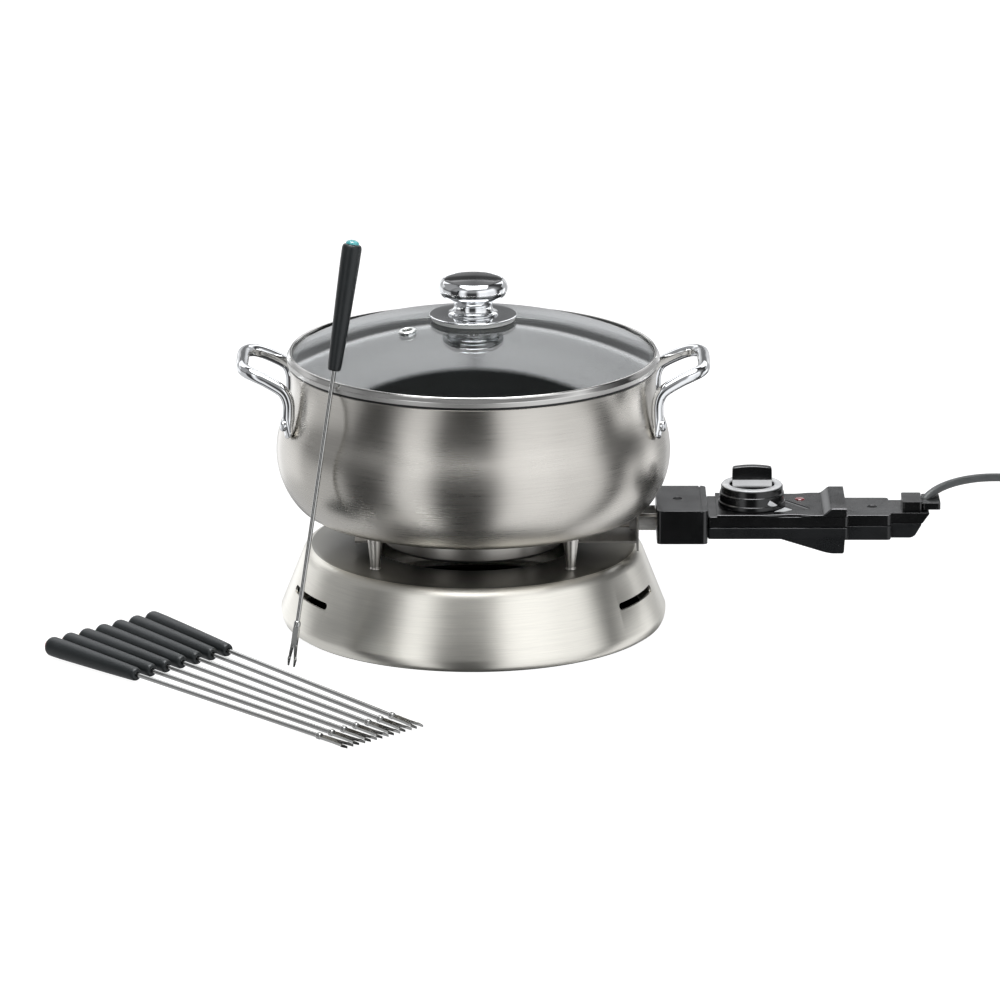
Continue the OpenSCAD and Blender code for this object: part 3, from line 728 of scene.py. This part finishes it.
DOME_R, GLASS_T = 272.0, 4.0
DOME_C = GLASS_TOP - DOME_R
VENT = Vector((-38, -20.5, 0))


def dome_height(r, radius):
    """The height at distance r from the axis of a dome round the glass's centre."""
    return DOME_C + sqrt(radius ** 2 - r ** 2)


def on_dome(obj):
    """Moves a piece from the origin to the vent's place on the glass, standing square to it."""
    away = Vector((VENT.x, VENT.y, sqrt(DOME_R ** 2 - VENT.length ** 2))).normalized()
    turn = away.to_track_quat("Z", "Y").to_matrix().to_4x4()
    obj.data.transform(Matrix.Translation((Vector((0, 0, DOME_C)) + away * DOME_R) * MM) @ turn)
    return obj


def glass_dome():
    bore, edge, steps = 3.2, BAND_R - 1.2, 36
    radii = [bore + (edge - bore) * i / steps for i in range(steps + 1)]
    outline = [(r, dome_height(r, DOME_R)) for r in radii]
    outline += [(r, dome_height(r, DOME_R - GLASS_T)) for r in reversed(radii)]
    dome = lathe("dome", outline, 256)
    hole = on_dome(cylinder("hole", (0, 0, -9), (0, 0, 9), 4.3))
    return cut(dome, [hole])


def rim_band():
    top, low = BAND_HIGH.z, BAND_HIGH.z - 6.95
    glass_z = dome_height(BAND_R - 1.2, DOME_R)
    under_z = dome_height(BAND_R - 1.2, DOME_R - GLASS_T)
    gap = [(BAND_R - 0.85, low), (BAND_R - 0.85, low + 1.3), (BAND_R - 0.2, low + 1.3)]
    outer = [(BAND_R - 0.1, low + 1.35), (BAND_R, low + 1.9), (BAND_R, low + 2.9),
             (BAND_R, low + 3.9), (BAND_R - 1.4, top - 0.9), (BAND_R - 1.5, top - 0.4),
             (BAND_R - 1.9, top), (BAND_R - 2.5, top), (BAND_R - 2.9, top - 0.35)]
    inner = [(BAND_R - 2.9, glass_z + 0.95), (BAND_R - 1.0, glass_z + 0.3),
             (BAND_R - 1.0, under_z - 0.15), (101.9, under_z - 0.15), (101.9, BAND_LOW.z),
             (102.7, BAND_LOW.z), (102.7, low)]
    return lathe("band", gap + rounded(outer, 0.4, 4, False) + inner, 256)


def grommet():
    outline = [(2.8, -5), (4.1, -5), (4.1, 0.15), (5.2, 0.15), (5.3, 0.9), (4.4, 1.5), (3.2, 1.5),
               (2.8, 0.9)]
    ring = lathe("vent_ring", rounded(outline, 0.35, 3), 48)
    return on_dome(ring)


def escutcheon():
    low, high, plate_r = GLASS_TOP + 0.1, KNOB_FOOT - 0.06, 25.6
    skirt_r, skirt_low, under = plate_r - 1.0, GLASS_TOP - 0.82, high - 0.9
    outline = [(2.7, low), (13, low), (13, under), (skirt_r - 1.6, under), (skirt_r - 1.6, skirt_low),
               (skirt_r - 0.2, skirt_low), (skirt_r - 0.1, under), (plate_r - 0.2, under),
               (plate_r, high - 0.6), (plate_r, high - 0.25), (plate_r - 0.5, high), (2.7, high)]
    return lathe("knob_disc", rounded(outline, 0.3, 3), 128)


CAP_R, CAP_Z = 16.7, 204.5


def knob():
    foot, throat = KNOB_FOOT, 11.2
    outline = [(2.2, foot), (14.0, foot), (14.4, foot + 0.5)]
    outline += arc(14.9, foot + 4.6, 3.7, 262, 180, 10)
    outline += [(throat, 190.2), (throat + 0.3, 191.6), (12.4, 193.1)]
    outline += arc(14.1, 199.7, 6, -96, 58, 26)
    outline += [(CAP_R + 0.3, CAP_Z + 0.2), (CAP_R, CAP_Z), (0, CAP_Z - 0.1)]
    return lathe("knob_body", outline + [(0, foot + 11), (2.2, foot + 11)], 128, sharp=50)


set_piece(glass_dome(), "lid", GLASS, "lid_glass")
set_piece(rim_band(), "lid", BAND_STEEL, "lid_rim_band")
set_piece(grommet(), "lid", EYELET, "vent_grommet")
set_piece(escutcheon(), "lid", PLATE, "knob_escutcheon")
set_piece(knob(), "lid", CHROME, "lid_knob")


def knob_cap():
    """The dark glossy face set into the top of the knob."""
    outline = [(0, CAP_Z), (CAP_R - 0.1, CAP_Z), (CAP_R - 0.1, CAP_Z + 0.25)]
    outline += [(r, CAP_Z + 1.35 - (r / CAP_R) ** 2) for r in (16.2, 14.5, 12, 9, 5, 0.0)]
    return lathe("knob_face", outline, 96)


set_piece(knob_cap(), "lid", GLOSS_BLACK, None)


# ---- control

BOX_LOW, BOX_HIGH = box_mm("plug_housing")
FACE_Z = box_mm("control_faceplate")[0].z
DIAL_LOW, DIAL_HIGH = box_mm("dial_knob")
LENS = sum(box_mm("indicator_lens"), Vector()) / 2
DIAL_X = (DIAL_LOW.x + DIAL_HIGH.x) / 2
PIN_Z, PIN_Y = 60.6, 12.0
SPLIT_Z, BODY_TOP = 61.0, FACE_Z - 0.1
MAIN_X0, MAIN_X1 = BOX_HIGH.x + 0.1, 218.6
TAIL_X0, TAIL_X1, TIP_X0 = 214, 243.8, 242
MAIN_Y, TAIL_Y, TIP_Y = 23.0, 19.0, 14.0
SCREW_R = 2.8


def spread(start, end, count):
    """Evenly spaced values from start to end."""
    return [start + (end - start) * i / count for i in range(count + 1)]


def ease(x, start, end):
    """A smooth step from 0 at start to 1 at end."""
    t = min(1.0, max(0.0, (x - start) / (end - start)))
    return t * t * (3 - 2 * t)


def plan_rect(x0, y0, x1, y1, r):
    return rounded([(x0, y0), (x1, y0), (x1, y1), (x0, y1)], r, 6)


def slab(name, x0, x1, half, corner, low, high, bevel):
    """An upright block from x0 to x1 that is centred on the X axis."""
    return prism(name, plan_rect(x0, -half, x1, half, corner), low, high, bevel)


def plug_box():
    body = prism("plug_box", plan_rect(BOX_LOW.x, BOX_LOW.y, BOX_HIGH.x, BOX_HIGH.y, 3.0),
                 BOX_LOW.z, BOX_HIGH.z, 0)
    holes = [cylinder("hole", (BOX_LOW.x - 2, y, PIN_Z), (BOX_LOW.x + 3, y, PIN_Z), 3.0)
             for y in (-PIN_Y, 0, PIN_Y)]
    recess = cylinder("recess", (119.5, 0, BOX_HIGH.z - 1.2), (119.5, 0, BOX_HIGH.z + 2), SCREW_R)
    groove = slab("groove", 132.6, 133.3, 40, 0.1, BOX_HIGH.z - 0.6, BOX_HIGH.z + 2, 0)
    cut(body, holes + [recess, groove], 50)
    return add_bevel(body, 0.7, 5)


def faceplate():
    low = FACE_Z

    def section(x):
        """Waisted beyond the dial, wide again at the tail end, which steps up."""
        half = 24.2 - 1.9 * ease(x, 166, 184) + 2.2 * ease(x, 188, 199)
        top = low + 1.4 + 4.0 * ease(x, 203, 209.5)
        return half, low, top

    plate = loft("face_plate", spread(142.1, 217.4, 90), section, 1.3, 8)
    hole = cylinder("hole", (LENS.x, LENS.y, low - 2), (LENS.x, LENS.y, low + 8), 3.05)
    ends = [(176, 15.5, low + 1.5), (195.5, -9.5, low + 1.5)]
    groove = tube("groove", ends, (1.3, 0.8), 16)
    return weigh_normals(cut(plate, [hole, groove]))


def lower_housing():
    top = SPLIT_Z - 0.1
    parts = [slab("main", MAIN_X0, MAIN_X1, MAIN_Y, 2.0, 54, top, 0.7),
             slab("tail", TAIL_X0, TAIL_X1, TAIL_Y, 2.5, 52.3, top, 0.7)]
    tip = rounded([(TIP_X0, 52.4), (255.8, 52.4), (258, 53.6), (262.2, top), (TIP_X0, top)], 1.2, 3)
    parts.append(prism("tip", tip, -TIP_Y, TIP_Y, 0.7, "y"))
    wedge = [(177, 54.8), (205, 46.1), (209, 45.3), (215.6, 45.3), (216.3, 46.2), (216.8, 55.2)]
    parts.append(prism("grip", rounded(wedge, 1.4, 5), 0.4 - MAIN_Y, MAIN_Y - 0.4, 0.9, "y"))
    return join("control_tub", parts)


def upper_housing():
    main = slab("main", MAIN_X0, MAIN_X1, MAIN_Y - 0.3, 2.0, SPLIT_Z + 0.1, BODY_TOP, 0.7)
    tail = slab("tail", TAIL_X0, TAIL_X1, TAIL_Y, 2.5, SPLIT_Z, BODY_TOP, 0)
    cut(tail, [cylinder("recess", (233.5, 0, 66.3), (233.5, 0, 70), SCREW_R)], 50)
    add_bevel(tail, 0.7, 4)
    high = BODY_TOP - 0.08  # just below the tail's top, so that no two faces coincide
    end = [(TIP_X0, SPLIT_Z), (262.3, SPLIT_Z), (266.4, 66.9), (266.2, high), (TIP_X0, high)]
    tip = prism("tip", rounded(end, 0.6, 3), -TIP_Y, TIP_Y, 0.7, "y", 4)
    return join("control_cover", [main, tail, tip])


CORD_R, CORD_STEPS = 2.4, 40
CORD_CURVES = [
    [(264.3, 1, 71.1), (272, 8, 79.5), (296, 34, 78), (325, 60, 67.2)],
    [(325, 60, 67.2), (352, 84.2, 57.1), (342, 126, 2.5), (366, 130, 2.5)],
    [(366, 130, 2.5), (404, 136, 2.5), (408, 60, 2.5), (382, 20, 2.5)],
    [(382, 20, 2.5), (364, -9, 2.5), (352, -30, 8), (352, -59, 8.5)]]


def cord_clamp():
    low, high = box_mm("cord_clamp")
    joint = 262.2
    first = prism("first", plan_rect(low.x, low.y, joint, high.y, 1.5), low.z, high.z, 0)
    second = prism("second", plan_rect(joint + 0.4, low.y, high.x, high.y, 1.5),
                   low.z + 0.8, high.z - 0.8, 0)
    bridge = slab("bridge", joint - 2, joint + 2, 8, 0.5, low.z + 1.2, high.z - 1.4, 0.3)
    path = [bezier(CORD_CURVES[0], i / CORD_STEPS) for i in range(14)]
    start = path[0] * 2 - path[1]
    for part in (first, second):
        cut(part, [tube("seat", [start] + path, (CORD_R + 0.4,) * 2, 24)], 50)
        add_bevel(part, 0.7, 4)
    return join("clamp", [first, second, bridge])


def cord():
    path = [bezier(c, i / CORD_STEPS) for c in CORD_CURVES for i in range(CORD_STEPS)]
    return tube("cord", path + [Vector(CORD_CURVES[-1][-1])], (CORD_R, CORD_R), 24)


def plug():
    """The mains plug, with a ribbed relief that tapers onto the cord."""
    x, z, back, ribs = 352, 8.5, -66, 25
    body = prism("body", plan_rect(x - 11.5, -98, x + 11.5, back, 5), 0.1, 16.9, 2.6, steps=5)
    path = [(x, back + 0.45 * i - 1, z) for i in range(ribs + 1)]
    radii = [6.2 - 0.12 * i - (0.5 if i % 4 < 2 else 0.0) for i in range(ribs + 1)]
    relief = tube("relief", path, lambda t: (radii[round(t * ribs)],) * 2, 32)
    return join("mains_plug", [body, relief])


set_piece(plug_box(), "control", BLACK, "plug_housing")
set_piece(lower_housing(), "control", TUB, "control_lower_housing")
set_piece(upper_housing(), "control", BLACK, "control_upper_housing")
set_piece(faceplate(), "control", FACE, "control_faceplate")
set_piece(cord_clamp(), "control", BLACK, "cord_clamp")
set_piece(cord(), "control", CORD, "power_cord")
set_piece(plug(), "control", PLUG, "plug_body")


def lens():
    top = FACE_Z
    outline = [(0, top), (3.0, top), (3.0, top + 1.5), (2.4, top + 2.1), (1.2, top + 2.4),
               (0, top + 2.45)]
    return lathe("lamp_lens", rounded(outline, 0.3, 3, False), 48, (LENS.x, LENS.y), False)


def set_mark():
    """A plain pale arrowhead beside the dial, which the dial's pointer is set against."""
    z = FACE_Z + 1.36
    head = [(182.0, -7.6), (186.2, -12.6), (181.0, -16.8), (175.6, -16.9), (177.6, -14.2),
            (180.4, -10.6)]
    return prism("set_mark", rounded(head, 0.4, 2), z, z + 0.18, 0.06)


def tail_marks():
    """Two small pips moulded on the tail."""
    z = BODY_TOP - 0.05
    outline = rounded([(0, z), (1.1, z), (1.0, z + 0.25), (0, z + 0.3)], 0.1, 2)
    return join("tail_pips", [lathe("pip", outline, 24, (221.5, y)) for y in (-9, -2.5)])


set_piece(lens(), "control", RED_LENS, "indicator_lens")
set_piece(set_mark(), "control", SILVER, None)
set_piece(tail_marks(), "control", FACE, None)


# ---- dial

RIM_TOP = box_mm("dial_ring")[0].z - 0.05
FIN_HALF, HOLLOW_R = 11.5, 12.9


def dial():
    """The round skirt, the upright fin across it and the slopes that carry the fin."""
    foot, top = DIAL_LOW.z, RIM_TOP
    profile = [(3.1, foot), (19.6, foot), (19.7, foot + 0.4), (19.5, foot + 2.4), (18.9, foot + 2.9),
               (18.9, top - 4.4), (18.7, top - 3.9), (18.3, top - 3.7), (18.1, top - 0.6), (17.9, top),
               (17.6, top - 0.1), (13.0, top - 0.1), (12.6, top - 1.4), (9, top - 2.2), (0, top - 2.5),
               (0, foot + 6), (3.1, foot + 6)]
    skirt = lathe("skirt", rounded(profile, 0.35, 3, False), 128, (DIAL_X, 0))
    half, high = FIN_HALF + 0.2, DIAL_HIGH.z
    brow = [(x, high - 0.1 - 1.1 * (x / half) ** 2) for x in spread(half - 0.8, 0.8 - half, 10)]
    outline = rounded([(-half, top - 3), (half, top - 3), (half - 0.2, high - 2)] + brow
                      + [(0.2 - half, high - 2)], 0.5, 3)
    fin = prism("fin", [(DIAL_X + x, z) for x, z in outline], -2.2, 2.2, 1.5, "y", 1)
    tidy_mesh(fin, 30)
    return join("dial", [skirt, fin, fin_root(top - 1.5, top + 3.5)], 30)


def fin_root(low, high):
    """The hollow slopes that carry the dial's fin and run out inside the ring."""
    step, y, z = 1.7, 2.1, high
    stations = []
    for fall in (42, 38, 30, 22, 14, 7):
        stations.append((min(FIN_HALF, sqrt(HOLLOW_R ** 2 - y ** 2)), y, z))
        y += step * cos(radians(fall))
        z -= step * sin(radians(fall))
    vertices, faces = [], []
    for x, y, z in [(x, -y, z) for x, y, z in stations[::-1]] + stations:
        left, right = DIAL_X - x, DIAL_X + x
        vertices += [(left, y, low), (right, y, low), (right, y, z), (left, y, z)]
    last = len(stations) * 2 - 1
    for i in range(last):
        a, b = 4 * i, 4 * i + 4
        faces += [[a + k, a + (k + 1) % 4, b + (k + 1) % 4, b + k] for k in range(4)]
    faces += [[0, 1, 2, 3], [4 * last + 3, 4 * last + 2, 4 * last + 1, 4 * last]]
    return new_piece("root", vertices, faces)


def dial_trim():
    low = RIM_TOP + 0.03
    outline = [(13.1, low), (17.6, low), (17.6, low + 0.5), (17.1, low + 0.9), (13.7, low + 0.9),
               (13.1, low + 0.4)]
    return lathe("dial_rim", rounded(outline, 0.25, 3), 128, (DIAL_X, 0))


def dial_pointer():
    """The pale pointer moulded down the side of the dial."""
    path = []
    for t in spread(0, 1, 8):
        turn, z = radians(-60 + 18 * t), 74.3 - 4.0 * t
        reach = 18.75 + 0.35 * t
        path.append((DIAL_X + reach * cos(turn), reach * sin(turn), z))
    return tube("dial_pointer", path, (1.5, 0.35), 20, True, lambda p: outwards(p, DIAL_X))


set_piece(dial(), "dial", DIAL_BLACK, "dial_knob")
set_piece(dial_trim(), "dial", SILVER, "dial_ring")
set_piece(dial_pointer(), "dial", SILVER, None)


# ---- forks

LEAN_TIP, LEAN_TOP = Vector((-104.5, -99.6, 0.1)), Vector((-68.4, -63.3, 242.3))
FIRST_GRIP, LAST_GRIP = Vector((-248.5, -74.6, 0)), Vector((-192.5, -23.1, 0))
FIRST_TIP, LAST_TIP = Vector((-64.2, -253.6, 0)), Vector((-26.6, -218.1, 0))
GRIP_END_R, GRIP_NECK_R, TIP_LIFT = 5.7, 3.8, 0.9
HEAD_LEN = 24.0


def fork_frame(number):
    """The place of fork 1 to 8: seven lie in a fan and the last leans on the lid."""
    if number == FORK_COUNT:
        low, run = LEAN_TIP, LEAN_TOP - LEAN_TIP
    else:
        t = (number - 1) / (FORK_COUNT - 2)
        grip, far = FIRST_GRIP.lerp(LAST_GRIP, t), FIRST_TIP.lerp(LAST_TIP, t)
        reach = (far - grip).length
        tip = grip.lerp(far, 0.5 + 0.5 * FORK_LEN / reach)
        low = Vector((tip.x, tip.y, TIP_LIFT))
        run = Vector((grip.x, grip.y, GRIP_END_R + 0.15)) - Vector((tip.x, tip.y, 0))
    flat = hypot(run.x, run.y)
    turn = (Matrix.Rotation(atan2(run.y, run.x), 4, "Z")
            @ Matrix.Rotation(atan2(flat, run.z), 4, "Y")
            @ Matrix.Rotation(pi / 2, 4, "Z"))
    return Matrix.Translation(low * MM) @ turn


def fork_prongs(name):
    """A flat two-pronged head, its collar and the rod that runs into the grip."""
    half = [(1.2, HEAD_LEN + 0.4), (1.9, HEAD_LEN), (2.2, HEAD_LEN - 2), (2.2, 13), (2.6, 6), (3.2, 4.9),
            (2.3, 0.1), (1.8, 5), (0.7, 11.5), (0.35, 12.6)]
    outline = [(-x, z) for x, z in half] + [(0, 13)] + half[::-1]
    head = prism("head", rounded(outline, 0.4, 3), -0.7, 0.7, 0.2, "y", 2)
    low = HEAD_LEN - 0.6
    collar = [(0, low), (1.8, low), (2, low + 0.6), (2, low + 2.6), (1.4, low + 3.6), (0, low + 3.6)]
    line = [(0, 0, z) for z in spread(HEAD_LEN + 1, FORK_LEN - GRIP_LEN + 20, 6)]
    rod = tube("rod", line, (1.3, 1.3), 20, False)
    return join(name, [head, lathe("collar", rounded(collar, 0.3, 3), 32), rod])


def fork_grip(name):
    foot = FORK_LEN - GRIP_LEN
    outline = [(1.36, foot + 0.2), (2.9, foot), (3.6, foot + 0.7)]
    outline += [(GRIP_NECK_R + (GRIP_END_R - GRIP_NECK_R) * min(1, z / (GRIP_LEN - 12)) ** 0.8, foot + z)
                for z in spread(2.2, GRIP_LEN - 5.2, 8)]
    outline += [(GRIP_END_R - 0.1, FORK_LEN - 4.2), (GRIP_END_R - 0.6, FORK_LEN - 3.0),
                (4.15, FORK_LEN - 2.6), (0, FORK_LEN - 2.6), (0, foot + 21), (1.36, foot + 21)]
    return lathe(name, rounded(outline, 0.5, 3), 48)


def fork_cap(name):
    low = FORK_LEN - 2.55
    radius, rise = 3.9, 2.25
    dome = [(radius * cos(a), low + 0.3 + rise * sin(a))
            for a in (radians(d) for d in range(0, 90, 10))]
    return lathe(name, [(0, low), (radius, low)] + dome + [(0, low + 0.3 + rise)], 40)


CAP_COLOURS = {"red": (0.55, 0.02, 0.03), "orange": (0.75, 0.2, 0.02), "yellow": (0.8, 0.55, 0.04),
               "green": (0.04, 0.32, 0.1), "blue": (0.03, 0.1, 0.5), "violet": (0.24, 0.06, 0.4),
               "white": (0.75, 0.74, 0.7), "teal": (0.10, 0.46, 0.48)}

for number, (shade, colour) in enumerate(CAP_COLOURS.items(), 1):
    body = f"fork_{number}"
    place = fork_frame(number)
    grip = fork_grip(f"fork_grip_{number}")
    prongs = fork_prongs(f"fork_tines_{number}")
    cap = fork_cap(f"fork_end_{number}")
    for piece in (grip, prongs, cap):
        piece.data.transform(place)
    set_piece(grip, body, GRIP, f"{body}_handle")
    set_piece(prongs, body, FORK_STEEL, f"{body}_prongs")
    set_piece(cap, body, clear_plastic(f"cap_{shade}", colour), f"{body}_cap")


# ---- CAD nodes that stay as they are

KEPT = {"foot_ring": RUBBER, "post_screws": ZINC, "heating_element": ELEMENT,
        "terminal_pins": SATIN, "terminal_insulators": CERAMIC, "terminal_guard": SATIN,
        "knob_screw": ZINC, "sensor_probe": SATIN, "contact_sleeves": BRASS,
        "thermostat_block": ZINC, "housing_screws": SCREW_SHADE, "plug_blades": BLADE,
        "dial_spindle": SATIN}

for node_name, finish in KEPT.items():
    coat(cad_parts[node_name].data, finish)


# ---- studio

# Soft panels that only reflections and light see: the turn from the camera's side and the
# elevation that each spans, in degrees, with its soft edges, then its brightness.
PANELS = [((-47, -25, 8), (-60, 38, 6), 1.0),
          ((16, 50, 7), (-60, 38, 6), 0.14),
          ((16, 83, 8), (-60, 38, 6), 0.95),
          ((-80, 100, 15), (16, 60, 8), 0.26),
          ((-135, -82, 8), (8, 60, 6), 0.3),
          ((-165, -80, 4), (-60, 1, 5), 0.6),
          ((99, 132, 6), (-60, 0, 5), 1.0)]
# The same, for pairs of panels: one on the right and its mirror image on the left.
PAIRED_PANELS = [((138, 181, 5), (19, 46.5, 2, 1), 1.12),
                 ((138, 181, 5), (34, 46.5, 11, 1), 1.0),
                 ((120, 181, 5), (18.8, 20.6, 0.8), 1.1),
                 ((120, 165, 5), (-20, 19, 3), 0.3),
                 ((120, 181, 5), (-20, 19, 3), 0.16),
                 ((155, 181, 5), (-20, 11, 2), 0.4)]
FILL, OVERHEAD, OVERHEAD_MIRRORED = 0.055, 1.0, 9.0
WORLD_SEEN, FLOOR_SEEN = 1.5, 1.35


def studio_world():
    """A plain white backdrop for the camera, and a studio of soft panels for reflections."""
    world = bpy.data.worlds.new("studio")
    bpy.context.scene.world = world
    world.use_nodes = True
    tree = world.node_tree
    tree.nodes.clear()

    def add(kind, inputs=None, **settings):
        return add_node(tree, kind, inputs, **settings).outputs

    def calc(operation, a, b=0.0):
        return add("Math", {0: a, 1: b}, operation=operation)[0]

    def ramp(value, start, end, first, last):
        inputs = {"Value": value, "From Min": start, "From Max": end, "To Min": first, "To Max": last}
        return add("MapRange", inputs, interpolation_type="SMOOTHSTEP")[0]

    def window(value, low, high, soft, soft_end=None):
        """1 between low and high, fading over each edge's own softness."""
        end = soft_end or soft
        return calc("MULTIPLY", ramp(value, low - soft, low + soft, 0.0, 1.0),
                    ramp(value, high - end, high + end, 1.0, 0.0))

    part = add("SeparateXYZ", {0: add("TexCoord")["Generated"]})
    turn = calc("MULTIPLY", calc("ARCTAN2", part["X"], calc("MULTIPLY", part["Y"], -1.0)), 180 / pi)
    lift = calc("MULTIPLY", calc("ARCSINE", part["Z"]), 180 / pi)
    total = FILL
    for value, panels in ((turn, PANELS), (calc("ABSOLUTE", turn), PAIRED_PANELS)):
        for across, upward, strength in panels:
            shape = calc("MULTIPLY", window(value, *across), window(lift, *upward))
            total = calc("ADD", total, calc("MULTIPLY", shape, strength))
    ray = add("LightPath")
    overhead = calc("ADD", calc("MULTIPLY", ray["Is Glossy Ray"], OVERHEAD_MIRRORED), OVERHEAD)
    total = calc("ADD", total, calc("MULTIPLY", window(lift, 68, 95, 5), overhead))
    hidden = add("Background", {"Color": (0.97, 0.98, 1.0, 1), "Strength": total})[0]
    seen = add("Background", {"Color": (1, 1, 1, 1), "Strength": WORLD_SEEN})[0]
    both = add("MixShader", {0: ray["Is Camera Ray"], 1: hidden, 2: seen})[0]
    add("OutputWorld", {"Surface": both})


def floor():
    """A plain pale floor that fades into the backdrop."""
    far, low = 6000.0, -0.02
    corners = [(-far, -far, low), (far, -far, low), (far, far, low), (-far, far, low)]
    plane = new_piece("floor", corners, [[0, 1, 2, 3]])
    r = Recipe("floor_white", (0.93, 0.93, 0.93), 0.6)
    grain = r.noise(r.place(), 300.0, 2.0)
    r.set("Roughness", r.span(grain, 0.3, 0.7, 0.55, 0.65))
    r.set("Specular IOR Level", 0.1)
    ray = r.add("LightPath").outputs
    glow = r.add("Emission", {"Color": (1, 1, 1, 1), "Strength": FLOOR_SEEN})
    lit = r.blend(r.math("MULTIPLY", ray["Is Camera Ray"], 0.7), r.shader, glow)
    # metal mirrors the studio's panels instead of the floor, so their bands run on down its sides
    outside = r.blend(ray["Is Glossy Ray"], lit, r.add("BsdfTransparent"))
    # painted shade: the table inside the base is drawn near black, as no light reaches it there
    dark = r.add("BsdfDiffuse", {"Color": (0.004, 0.004, 0.004, 1)})
    shade_under_base = r.math("LESS_THAN", r.round_axis()[2], (BASE_R - 3.5) * MM)
    r.surface(r.blend(shade_under_base, outside, dark))
    coat(plane.data, r.material)


def top_light():
    light = bpy.data.lights.new("top_soft", "AREA")
    light.shape = "RECTANGLE"
    light.size, light.size_y = 1.6, 1.2
    light.energy = 10
    lamp = link_new("top_soft", light)
    lamp.location = (0.1, -0.3, 1.6)
    aim = Vector((0, 0, 0.1)) - Vector(lamp.location)
    lamp.rotation_euler = aim.to_track_quat("-Z", "Y").to_euler()


def camera():
    """Seen from the front, a little from above, with a long lens."""
    distance, height_angle, pitch, shift_x = 4.0, 16.9, 15.96, 0.0156
    data = bpy.data.cameras.new("camera")
    data.sensor_width = 36
    data.lens = 255.8
    data.clip_end = 100
    obj = link_new("camera", data)
    obj.location = (shift_x, -distance, distance * tan(radians(height_angle)))
    obj.rotation_euler = (radians(90 - pitch), 0, 0)
    bpy.context.scene.camera = obj


studio_world()
floor()
top_light()
camera()
bpy.context.scene.view_settings.view_transform = "Standard"
bpy.context.scene.view_settings.look = "None"
